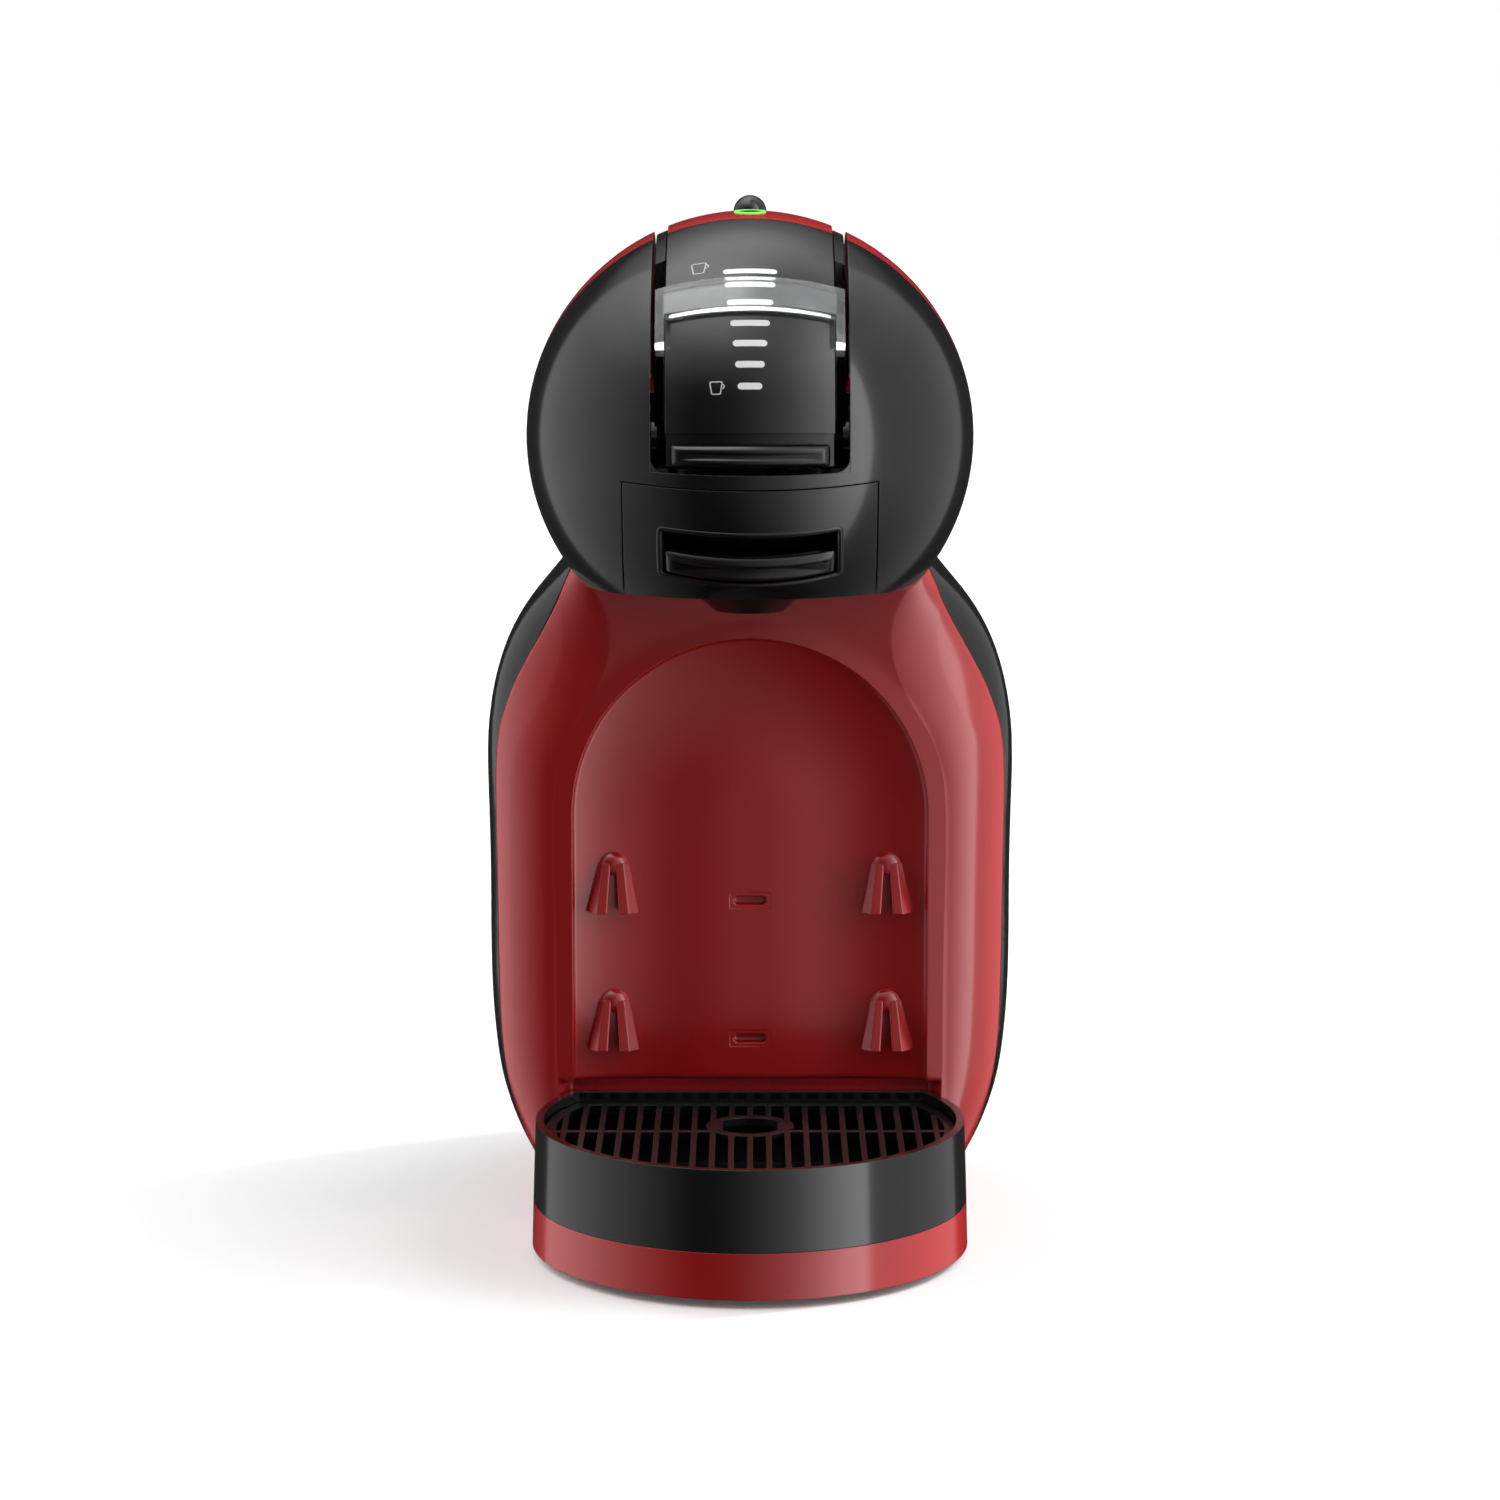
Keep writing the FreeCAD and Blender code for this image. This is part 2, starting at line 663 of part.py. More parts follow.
def make_arm_frame():
    """Structure of the arm: a curved strip under panel and cap, two cheeks and their hubs."""
    strip = arm_strip(head_radius - wall - 0.1, 60.6, arm_front_angle + 0.3, arm_rear_angle, 23.4)
    cheek = sector(2, 100, 21.0, 23.4, 0.0, 62.0).common(ball(head_radius - wall - 0.1))
    window = sector(20, 82, 20, 25, 20.0, 50.0)
    hub = rod(9.0, V(21.0, head_y, head_z), V(27.0, head_y, head_z))
    bore = rod(axle_radius + running, V(18, head_y, head_z), V(30, head_y, head_z))
    cheeks = both_sides(join([cheek.cut(window), hub]).cut(bore))
    led_window = sector(13, 52, -13, 13, 58.0, 64.0)
    frame = join([strip.cut(led_window)] + cheeks)
    return frame.cut(button_hole(4.9)).cut(lever_slot(9.0, 5.3))


def make_grip():
    """Grip bar across the front end of the arm, with bevelled edges."""
    bar = arm_strip(head_radius + 0.4, head_radius - wall, arm_front_angle, grip_top_angle, 22.5)
    bevel_low = sector(arm_front_angle - 2, arm_front_angle + 1.0, -30, 30, head_radius - 1.2)
    bevel_high = sector(grip_top_angle - 1.0, grip_top_angle + 2, -30, 30, head_radius - 1.2)
    return bar.cut(bevel_low).cut(bevel_high)


def make_button_guide():
    """Sleeve under the cap that the power button runs in; its rim carries the light ring."""
    tube = rod(4.2, head_point(button_angle, 57), head_point(button_angle, 62.0))
    rim = rod(4.9, head_point(button_angle, 60.6), head_point(button_angle, 62.3))
    sleeve = join([tube, rim]).cut(rod(3.6, head_point(button_angle, 61.4), head_point(button_angle, 66)))
    stem_way = rod(button_stem_radius + running, head_point(button_angle, 50), head_point(button_angle, 66))
    return sleeve.cut(stem_way)


def make_button():
    """Power button: a small disc flush with the cap, on a stem."""
    stem = rod(button_stem_radius, head_point(button_angle, 58), head_point(button_angle, 63))
    disc = rod(3.5, head_point(button_angle, 63), head_point(button_angle, 75))
    return join([stem, disc]).common(ball(head_radius + 0.1))


def make_light_ring():
    ring = button_hole(4.6).cut(button_hole(3.6))
    return ring.common(head_shell(head_radius + 0.3, head_radius - wall))


def make_lever_pin():
    centre = head_point(lever_angle, lever_pivot_radius)
    return rod(lever_pin_radius, centre.sub(V(0, 3.9, 0)), centre.add(V(0, 3.9, 0)))


def make_lever_bracket():
    """Bracket under the cap that carries the lever's pin, with the selector switch on it."""
    centre = head_point(lever_angle, lever_pivot_radius)
    ear_front = box(-12, 12, centre.y - 3.9, centre.y - 2.5, centre.z - 2.6, 302)
    ear_rear = box(-12, 12, centre.y + 2.5, centre.y + 3.9, centre.z - 2.6, 302)
    knob_room = stadium(lever_angle, 9.0, 5.3, lever_pivot_radius + 2.8, 75)
    return join([ear_front, ear_rear]).cut(make_lever_pin()).cut(knob_room).common(ball(60.6))


def make_lever():
    """Hot and cold lever: a ball knob on a short shaft that rocks on its pin."""
    foot = head_point(lever_angle, lever_pivot_radius)
    knob = Part.makeSphere(lever_knob_radius, head_point(lever_angle, 65.0))
    shaft = rod(2.1, foot, head_point(lever_angle, 63.0))
    hub = rod(2.5, foot.sub(V(0, 2.3, 0)), foot.add(V(0, 2.3, 0)))
    bore = rod(lever_pin_radius + running, foot.sub(V(0, 9, 0)), foot.add(V(0, 9, 0)))
    return join([knob, shaft, hub]).cut(bore)


# ---- volume slider --------------------------------------------------------------------------------
def make_slider():
    """Clear bracket that hugs the arm and slides along it to choose the cup size."""
    band = arm_strip(slider_radius, head_radius + 0.3, slider_low_angle, slider_high_angle, slider_half_width)
    clip = sector(slider_clip_angle, slider_high_angle, arm_half_width + gap, slider_half_width, 54.0, 80.0)
    clip = clip.common(ball(slider_radius))
    return join([band] + both_sides(clip))


# ---- injector -------------------------------------------------------------------------------------
def make_injector_plate():
    plate_top_z = injector_rest_z + 3.0
    plate = rod(injector_plate_radius, V(0, brew_y, injector_rest_z), V(0, brew_y, plate_top_z))
    stem = rod(injector_stem_radius, V(0, brew_y, plate_top_z), V(0, brew_y, 250.0))
    water_way = rod(1.0, V(0, brew_y, 228), V(0, brew_y, 252))
    return join([plate, stem]).cut(water_way)


def make_needle():
    point = cone(0.9, 1.6, V(0, brew_y, needle_tip_z), V(0, brew_y, injector_rest_z))
    return point.cut(rod(0.5, V(0, brew_y, 227), V(0, brew_y, 231)))


def make_injector_seal():
    ring = rod(injector_plate_radius - 0.5,
               V(0, brew_y, injector_rest_z - 1.4), V(0, brew_y, injector_rest_z))
    return ring.cut(rod(15.0, V(0, brew_y, 228), V(0, brew_y, 232)))


# ---- capsule drawer -------------------------------------------------------------------------------
def make_drawer_front():
    """Front of the drawer, part of the head's ball, with a finger recess, and the drawer's floor."""
    w = drawer_half_width
    skin = head_shell(head_radius, head_radius - wall).common(sector(-120, drawer_top_angle, -w, w, 45.0))
    skin = skin.common(box(-w, w, -120, flange_y - 0.4, head_bottom_z + 0.2, 240))
    floor = box(-w, w, -120, flange_y + 1.0, head_bottom_z + 0.2, head_bottom_z + 2.2)
    floor = floor.common(ball(head_radius - 1.0))
    pocket_back = arm_strip(head_radius - 1.0, 55.0, recess_low_angle - 1.5, recess_top_angle + 2.2, 26.8)
    pocket = arm_strip(70.0, 57.0, recess_low_angle, recess_top_angle, 24.6)
    solid = join([skin, floor, pocket_back]).cut(pocket)
    return solid.cut(rod(12.0, V(0, brew_y, 190), V(0, brew_y, 205)))


def make_drawer_grip():
    """Grip bar across the lower part of the finger recess."""
    bar = arm_strip(head_radius + 0.3, head_radius - 3.2, recess_low_angle, recess_low_angle + 7.6, 24.6)
    bevel = sector(recess_low_angle + 6.4, recess_low_angle + 9, -30, 30, head_radius - 1.0)
    return bar.cut(bevel)


def make_carrier():
    """Capsule carrier: a deck with the capsule seat, a cup below it, and a tongue on each side."""
    deck = box(-33, 33, -92, -28, carrier_low_z, carrier_top_z).common(ball(54.8))
    cup = cone(19.0, 28.5, V(0, brew_y, 199.6), V(0, brew_y, carrier_low_z))
    tongue = box(32.0, 34.8, -84, -28, rail_groove_z[0] + 0.4, rail_groove_z[1] - 0.4).common(ball(60.0))
    rim = rod(seat_rim_radius, V(0, brew_y, 224.5), V(0, brew_y, 235))
    seat = cone(16.5, 24.6, V(0, brew_y, 201.6), V(0, brew_y, 224.5))
    outlet = rod(3.0, V(0, brew_y, 195), V(0, brew_y, 205))
    lightening = [box(x - 9, x + 9, -37, -30.5, 209, 224.5) for x in (-19, 19)]
    carrier = join([deck, cup] + both_sides(tongue)).cut(rim).cut(seat).cut(outlet)
    for pocket in lightening:
        carrier = carrier.cut(pocket.cut(rod(29.0, V(0, brew_y, 200), V(0, brew_y, 230))))
    return carrier


def make_nozzle():
    """Outlet nozzle under the drawer: a short funnel with a central spout."""
    spigot = rod(11.8, V(0, brew_y, head_bottom_z + 0.2), V(0, brew_y, 199.5))
    flange = rod(16.2, V(0, brew_y, 195.6), V(0, brew_y, head_bottom_z + 0.2))
    funnel = cone(10.3, 16.2, V(0, brew_y, nozzle_low_z), V(0, brew_y, 195.6))
    bore = cone(7.0, 3.0, V(0, brew_y, 190), V(0, brew_y, 197))
    spout = rod(3.0, V(0, brew_y, 196), V(0, brew_y, 201))
    return join([spigot, flange, funnel]).cut(bore).cut(spout)


# ---- water tank -----------------------------------------------------------------------------------
def tank_zone(inset, front_y, z0, z1):
    return body(inset).common(box(-90, 90, front_y, 150, z0, z1))


def make_tank():
    outside = tank_zone(0.6, tank_front_y + 0.6, tank_low_z + 0.4, tank_top_z)
    inside = tank_zone(3.0, tank_front_y + 3.0, tank_low_z + 3.2, tank_top_z + 5)
    neck = rod(7.5, V(0, dock_y, tank_low_z - 6.0), V(0, dock_y, tank_low_z + 2.0))
    hole = rod(5.0, V(0, dock_y, 5), V(0, dock_y, 40))
    return join([outside.cut(inside), neck]).cut(hole)


def make_tank_lid():
    """Lid that carries the body's outline on over the tank; a lip holds it in the tank's mouth."""
    outside = tank_zone(0.6, tank_front_y + 0.6, tank_top_z + 0.2, 215)
    hollow = tank_zone(3.0, tank_front_y + 3.0, tank_top_z + 2.4, 212)
    mouth = tank_zone(6.4, tank_front_y + 5.4, tank_top_z - 8, tank_top_z + 4)
    lip = tank_zone(4.8, tank_front_y + 3.6, tank_top_z - 2, tank_top_z + 1)
    return join([outside.cut(hollow), lip]).cut(mouth)


def make_tank_filter():
    """Fine round filter that stands over the tank's outlet."""
    cup = rod(10.0, V(0, dock_y, tank_low_z + 3.3), V(0, dock_y, 33))
    hollow = rod(8.8, V(0, dock_y, tank_low_z + 3.2), V(0, dock_y, 32))
    filter_cup = cup.cut(hollow)
    for turn in range(8):
        slot = box(6, 12, -0.8, 0.8, 26, 31)
        slot.rotate(V(0, 0, 0), Z_AXIS, 45.0 * turn)
        slot.translate(V(0, dock_y, 0))
        filter_cup = filter_cup.cut(slot)
    return filter_cup


def make_valve_plunger():
    """Plunger that shuts the tank's outlet until the dock's pin lifts it."""
    stem = rod(1.6, V(0, dock_y, 16.4), V(0, dock_y, 25.2))
    disc = rod(5.6, V(0, dock_y, 24.4), V(0, dock_y, 25.8))
    return join([stem, disc])


def make_dock():
    """Socket under the tank: it takes the tank's neck and lifts the plunger with its pin."""
    cup = rod(8.9, V(0, dock_y, 5.0), V(0, dock_y, 20.9))
    room = rod(7.9, V(0, dock_y, 14.0), V(0, dock_y, 22))
    pin = rod(1.2, V(0, dock_y, 13.0), V(0, dock_y, 16.2))
    spider = box(-8.4, 8.4, dock_y - 0.8, dock_y + 0.8, 12.5, 14.4)
    well = rod(4.0, V(0, dock_y, 8.0), V(0, dock_y, 15))
    port = rod(3.4, V(0, dock_y - 13, 10.0), V(0, dock_y - 6, 10.0))
    port_bore = rod(1.7, V(0, dock_y - 14, 10.0), V(0, dock_y, 10.0))
    socket = join([cup, port]).cut(room).cut(well).cut(port_bore)
    return join([socket, spider, pin])


# ---- machinery ------------------------------------------------------------------------------------
def make_chassis():
    """Inner frame: floor, two windowed uprights, a shelf under the heater and a top bridge."""
    floor = box(-44, 44, -14, 60, 4.6, 6.6)
    upright = box(upright_x, upright_x + 3, -10, 46, 6.6, upright_top_z)
    windows = [box(38, 47, 4, 32, z, z + 40) for z in (18, 70, 130)]
    posts = [rod(4.0, V(screw_x, 44, z), V(screw_x, tank_front_y - wall - 0.1, z)) for z in screw_heights]
    shelf = box(-upright_x, upright_x, -2, 46, heater_low_z - 2.2, heater_low_z - 0.2)
    bridge = box(-upright_x, upright_x, -2, 30, upright_top_z - 3, upright_top_z)
    bridge = bridge.cut(box(-26, 26, -9, 24, 190, 200))
    shelf = shelf.cut(box(6, 30, -9, 34, 110, 120)).cut(box(-18, -2, 16, 32, 110, 120))
    for window in windows:
        upright = upright.cut(window)
    uprights = both_sides(join([upright] + posts))
    frame = join([floor, shelf, bridge] + uprights).common(body(wall + 1.2))
    for x, y in chassis_screws:
        frame = frame.cut(rod(thread_radius, V(x, y, 0), V(x, y, 9)))
    for side in (-1, 1):
        for z in screw_heights:
            frame = frame.cut(rod(thread_radius, V(side * screw_x, 52, z), V(side * screw_x, 70, z)))
    return frame


def pump_rod(radius, z0, z1):
    return rod(radius, V(pump_x, pump_y, z0), V(pump_x, pump_y, z1))


def make_pump_coil():
    half = 16.0
    coil = box(pump_x - half, pump_x + half, pump_y - half, pump_y + half, 44, 76)
    return coil.cut(pump_rod(pump_barrel_radius, 40, 80))


def make_pump_body():
    """Vibration pump, upright, with its inlet below and its outlet above."""
    barrel = pump_rod(pump_barrel_radius, 36, 84)
    inlet = pump_rod(3.0, 28, 36)
    outlet = pump_rod(5.0, 84, valve_z - 10)
    hollow = pump_rod(pump_bore_radius + running, 42, 72)
    way = pump_rod(pump_water_radius, 20, 100)
    return join([barrel, inlet, outlet]).cut(hollow).cut(way)


def make_pump_piston():
    return pump_rod(pump_bore_radius, 44, 62).cut(pump_rod(pump_water_radius, 40, 70))


def make_pump_mounts():
    """Rubber rings that hang the pump between its brackets, to keep the hum from the case."""
    mounts = []
    for z in pump_mount_heights:
        mounts.append(pump_rod(pump_mount_radius, z, z + 5).cut(pump_rod(pump_barrel_radius, z - 1, z + 6)))
    return Part.makeCompound(mounts)


def make_pump_brackets():
    brackets = []
    for z in pump_mount_heights:
        plate = box(0, upright_x, 6, 42, z + 1, z + 4)
        brackets.append(plate.cut(pump_rod(pump_mount_radius, z, z + 5)))
    return Part.makeCompound(brackets)


def make_flow_meter():
    """Counts the water, so the machine can stop at the chosen cup size."""
    case = rod(12.0, V(0, meter_y, 6.8), V(0, meter_y, 18.0))
    inlet = rod(3.0, V(0, meter_y + 10, pipe_port_z), V(0, meter_y + 16, pipe_port_z))
    outlet = rod(3.0, V(0, meter_y - 16, pipe_port_z), V(0, meter_y - 10, pipe_port_z))
    return join([case, inlet, outlet])


def make_valve():
    """Two-way valve that sends the water through the heater or past it."""
    half = 10.0
    block = box(pump_x - half, pump_x + half, pump_y - half, pump_y + half, valve_z - half, valve_z + half)
    coil = rod(8.5, V(pump_x + half, pump_y, valve_z), V(upright_x - 0.5, pump_y, valve_z))
    return join([block, coil])


def make_heater():
    """Cast heater block with cooling ribs on its back."""
    block = box(heater_x - 20, heater_x + 20, -1, 26, heater_low_z, heater_top_z)
    ribs = [box(heater_x - 20, heater_x + 20, 26, 31, z, z + 2.2) for z in range(122, 170, 7)]
    outlet = rod(3.0, V(heater_x, heater_y, heater_top_z), V(heater_x, heater_y, heater_top_z + 5))
    return join([block, outlet] + ribs)


def make_heater_element():
    """Tubular element bent into a U and clamped against the block."""
    legs = [rod(3.2, V(x, -5, 122), V(x, -5, 168)) for x in (-30, -6)]
    bend = Part.makeTorus(12.0, 3.2, V(-18, -5, 168), Y_AXIS).common(box(-40, 10, -12, 2, 168, 190))
    return join(legs + [bend])


def make_thermostat():
    can = rod(7.0, V(heater_x + 20, heater_y, 146), V(heater_x + 24, heater_y, 146))
    tabs = [box(8, 13, 9 + 5 * i, 10 + 5 * i, 143, 149) for i in range(2)]
    return join([can] + tabs)


def make_board():
    return box(-52.0, -50.4, -2, 44, 66, 156)


def make_board_parts():
    """Relay, transformer, capacitor, heat sink and plugs on the control board."""
    pieces = [
        box(-66, -52, 4, 20, 132, 150),
        box(-70, -52, 6, 30, 100, 124),
        rod(6.0, V(-68, 36, 112), V(-52, 36, 112)),
        box(-62, -52, 8, 16, 72, 92),
        box(-60, -52, 24, 40, 72, 80),
    ]
    return Part.makeCompound(pieces)


def make_shell_screws():
    """Screws that hold the rear shell to the chassis posts, in from the tank's bay."""
    screws = []
    for x in (-screw_x, screw_x):
        for z in screw_heights:
            head = rod(screw_head_radius, V(x, tank_front_y - 1.4, z), V(x, tank_front_y, z))
            shank = rod(thread_radius, V(x, tank_front_y - 12, z), V(x, tank_front_y - 1.4, z))
            screws.append(join([head, shank]))
    return Part.makeCompound(screws)


def make_hoses():
    """Rubber hoses and pipes of the water path, from the tank to the injector."""
    low = pipe_port_z
    dock_to_meter = hose([V(0, dock_y - 13.1, low), V(0, meter_y + 16.1, low)], 2.4, 1.4)
    meter_to_pump = hose([V(0, meter_y - 16.1, low), V(0, pump_y - 2, low), V(pump_x, pump_y, low + 1),
                          V(pump_x, pump_y, 27.9)], 2.4, 1.4)
    keep("suction_hoses", Part.makeCompound([dock_to_meter, meter_to_pump]))
    valve_side_x = pump_x - 10.1
    valve_front_y = pump_y - 10.1
    keep("heater_inlet_pipe", hose([V(valve_side_x, pump_y, valve_z), V(-10, pump_y, valve_z),
                                    V(-10, pump_y, heater_low_z - 0.1)], 2.2, 1.3))
    keep("hot_pipe", hose([V(heater_x, heater_y, heater_top_z + 5.1), V(heater_x, heater_y, 194),
                           V(gallery_x, 9, 212), V(gallery_x, 8, gallery_z),
                           V(gallery_x, 3.1, gallery_z)], 2.0, 1.2))
    keep("cold_hose", hose([V(pump_x, valve_front_y, valve_z), V(pump_x, -6, valve_z), V(pump_x, -6, 190),
                            V(17, -12, 252), V(9.1, -12, 252)], 2.0, 1.2))


def build():
    """Makes every piece and writes one file for each."""
    keep("base_frame", make_base())
    keep("base_plate", make_base_plate())
    keep("rubber_feet", make_feet())
    keep("base_screws", make_base_screws())
    keep("cord_gland", make_gland())
    keep("drip_tray", make_tray())
    keep("drip_grid", make_grid())
    keep("front_body_shell", make_front_shell())
    keep("rear_body_shell", make_rear_shell())
    keep("face_cover", make_face())
    keep("head_helmet", make_helmet())
    keep("channel_floor", make_channel_floor())
    keep("head_underside", make_underside())
    keep("brew_frame", make_brew_frame())
    keep("arm_axles", make_axles())
    keep("drawer_rails", make_rails())
    keep("injector_guide", make_injector_guide())
    keep("arm_frame", make_arm_frame())
    keep("arm_cap", make_arm_cap())
    keep("display_panel", make_panel())
    keep("volume_light_bars", make_light_bars())
    keep("led_board", make_led_board())
    keep("handle_grip", make_grip())
    keep("button_guide", make_button_guide())
    keep("button_light_ring", make_light_ring())
    keep("power_button", make_button())
    keep("lever_pin", make_lever_pin())
    keep("lever_bracket", make_lever_bracket())
    keep("hot_cold_lever", make_lever())
    keep("volume_slider", make_slider())
    keep("injector_plate", make_injector_plate())
    keep("injector_needle", make_needle())
    keep("injector_seal", make_injector_seal())
    keep("drawer_front", make_drawer_front())
    keep("drawer_grip", make_drawer_grip())
    keep("capsule_carrier", make_carrier())
    keep("outlet_nozzle", make_nozzle())
    keep("water_tank", make_tank())
    keep("tank_lid", make_tank_lid())
    keep("tank_filter", make_tank_filter())
    keep("tank_valve_plunger", make_valve_plunger())
    keep("tank_dock", make_dock())
    keep("inner_chassis", make_chassis())
    keep("pump_coil", make_pump_coil())
    keep("pump_body", make_pump_body())
    keep("pump_piston", make_pump_piston())
    keep("pump_mounts", make_pump_mounts())
    keep("pump_brackets", make_pump_brackets())
    keep("flow_meter", make_flow_meter())
    keep("selector_valve", make_valve())
    keep("heater_block", make_heater())
    keep("heater_element", make_heater_element())
    keep("thermostat", make_thermostat())
    keep("control_board", make_board())
    keep("board_components", make_board_parts())
    keep("shell_screws", make_shell_screws())
    make_hoses()
    os.makedirs("parts", exist_ok=True)
    for name, shape in nodes.items():
        state = "ok" if shape.isValid() else "NOT VALID"
        print(f"{name:22s} {state} solids {len(shape.Solids)} volume {shape.Volume / 1000:.2f} cm3")
        shape.exportStep(f"parts/{name}.step")
    print(len(nodes), "nodes")


build()
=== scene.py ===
# %% [markdown]
# # A pod coffee machine, finished for a product view
#
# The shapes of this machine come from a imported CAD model. Every object below is in metres and in that
# model's own frame: the table is z = 0, the user stands at -Y, and +X is the user's right. This lesson
# gives each plastic and metal its finish, and rebuilds the pieces whose soft edges matter most as
# surfaces worked out with numpy.

# %% Load the frame
import json
import math

import bpy
import numpy as np
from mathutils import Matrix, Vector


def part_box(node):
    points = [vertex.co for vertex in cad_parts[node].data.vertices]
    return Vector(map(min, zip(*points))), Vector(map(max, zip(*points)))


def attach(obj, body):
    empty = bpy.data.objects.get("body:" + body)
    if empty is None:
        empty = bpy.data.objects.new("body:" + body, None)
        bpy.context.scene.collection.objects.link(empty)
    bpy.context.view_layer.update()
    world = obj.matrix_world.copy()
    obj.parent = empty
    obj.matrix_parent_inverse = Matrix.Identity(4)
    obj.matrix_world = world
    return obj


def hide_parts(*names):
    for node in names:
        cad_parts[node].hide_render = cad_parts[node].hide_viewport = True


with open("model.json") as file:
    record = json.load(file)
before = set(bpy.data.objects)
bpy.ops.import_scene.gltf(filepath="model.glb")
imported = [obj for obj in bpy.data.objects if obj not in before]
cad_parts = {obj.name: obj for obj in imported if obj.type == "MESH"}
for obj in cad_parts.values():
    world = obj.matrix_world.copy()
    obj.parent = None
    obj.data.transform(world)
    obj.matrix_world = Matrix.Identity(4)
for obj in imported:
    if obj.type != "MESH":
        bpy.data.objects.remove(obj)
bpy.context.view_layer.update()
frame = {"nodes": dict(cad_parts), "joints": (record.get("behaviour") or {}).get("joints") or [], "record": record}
scene = bpy.context.scene
nodes = frame["nodes"]

# %% [markdown]
# ## Camera
# A machine like this is usually shown from the front, slightly from above, with a long lens so that the
# round head stays round. A 96 mm lens at 1.2 m gives that calm, almost parallel view.

# %% Camera
camera_data = bpy.data.cameras.new("product_camera")
camera = bpy.data.objects.new("product_camera", camera_data)
scene.collection.objects.link(camera)
camera_data.lens = 96.0
camera_data.sensor_width = 36.0
camera_data.clip_start = 0.05
camera.location = (0.0, -1.2122, 0.3211)
camera.rotation_euler = (math.radians(90.0 - 8.46), 0.0, 0.0)
scene.camera = camera
print("lens", camera_data.lens, "distance", round(-camera.location.y, 3))

# %% [markdown]
# ## Floor and light
# The floor is a plain pale sheet. Glossy plastic is drawn by what it reflects, so the lights are large
# soft boxes: a tall one at each side of the machine and one overhead. Each side box fades from its far
# edge towards its near edge, and that fade is the soft inner border of the highlights on the round head.
# A low sun from the right gives the long, faint shadow. The world is bright for the camera and for
# matte surfaces, and dim for mirror-like ones, so that black plastic stays black. The floor is hidden from
# both kinds of ray, because a white floor would light the red front from below.

# %% Floor
def flat_sheet(name, half, height):
    """A square sheet: four corners at plus and minus half, all at one height."""
    mesh = bpy.data.meshes.new(name)
    corners = [(-half, -half, height), (half, -half, height), (half, half, height), (-half, half, height)]
    mesh.from_pydata(corners, [], [(0, 1, 2, 3)])
    sheet = bpy.data.objects.new(name, mesh)
    scene.collection.objects.link(sheet)
    return sheet


floor = flat_sheet("studio_floor", 12.0, -0.0004)
floor_paint = bpy.data.materials.new("pale_floor")
floor_paint.use_nodes = True
floor_shader = floor_paint.node_tree.nodes["Principled BSDF"]
floor_shader.inputs["Base Color"].default_value = (0.90, 0.90, 0.90, 1.0)
floor_shader.inputs["Roughness"].default_value = 0.9
floor_shader.inputs["Specular IOR Level"].default_value = 0.1
floor_shader.inputs["Emission Color"].default_value = (1.0, 1.0, 1.0, 1.0)
floor_shader.inputs["Emission Strength"].default_value = 0.04
floor.data.materials.append(floor_paint)
floor.visible_glossy = False
floor.visible_diffuse = False
print("floor", floor.name)

# %% Sun
sun_data = bpy.data.lights.new("low_sun", "SUN")
sun_data.energy = 1.5
sun_data.angle = math.radians(6.0)
sun = bpy.data.objects.new("low_sun", sun_data)
scene.collection.objects.link(sun)
sun.rotation_euler = (math.radians(-20.0), math.radians(50.0), 0.0)
sun.visible_glossy = False
print("sun", round(sun_data.energy, 2))

# %% [markdown]
# ## Soft boxes drawn in the world
# A world shader can be a whole studio. The direction of a ray gives its azimuth, which is 0 towards the
# user and grows to the right, and its elevation. One ramp over azimuth draws the side boxes: each has a
# crisp far edge and fades out towards the user. A second ramp over elevation draws the overhead box.
# Matte surfaces get side boxes of their own, stronger and softer. Lamps close to the machine would add noise
# where these ramps stay clean.

# %% World
world = bpy.data.worlds.new("studio")
scene.world = world
world.use_nodes = True
sky = world.node_tree
sky.nodes.clear()


def sky_math(operation, a, b=0.0):
    """One arithmetic step in the world's nodes."""
    node = sky.nodes.new("ShaderNodeMath")
    node.operation = operation
    for socket, value in zip(node.inputs, (a, b)):
        if isinstance(value, float):
            socket.default_value = value
        else:
            sky.links.new(value, socket)
    return node.outputs[0]


def brightness_ramp(position, stops, brightest):
    """Brightness along a position from 0 to 1. Stops are (position, brightness)."""
    ramp = sky.nodes.new("ShaderNodeValToRGB")
    elements = ramp.color_ramp.elements
    elements[1].position = stops[-1][0]
    elements[0].position = stops[0][0]
    for where, value in stops:
        at_ends = [e for e in elements if abs(e.position - where) < 1e-4]
        element = at_ends[0] if at_ends else elements.new(where)
        element.color = (*[value / brightest] * 3, 1.0)
    sky.links.new(position, ramp.inputs[0])
    return sky_math("MULTIPLY", ramp.outputs[0], float(brightest))


def turn(degrees):
    """An azimuth in degrees as a position on the ramp."""
    return (degrees + 180.0) / 360.0


def tilt(degrees):
    """An elevation in degrees as a position on the ramp."""
    return (degrees + 90.0) / 180.0


ray = sky.nodes.new("ShaderNodeTexCoord")
part = sky.nodes.new("ShaderNodeSeparateXYZ")
sky.links.new(ray.outputs["Generated"], part.inputs[0])
towards_user = sky_math("MULTIPLY", part.outputs["Y"], -1.0)
azimuth = sky_math("ARCTAN2", part.outputs["X"], towards_user)
azimuth_share = sky_math("MULTIPLY_ADD", azimuth, 0.5 / math.pi)
azimuth_share.node.inputs[2].default_value = 0.5
elevation = sky_math("ARCSINE", part.outputs["Z"])
elevation_share = sky_math("MULTIPLY_ADD", elevation, 1.0 / math.pi)
elevation_share.node.inputs[2].default_value = 0.5

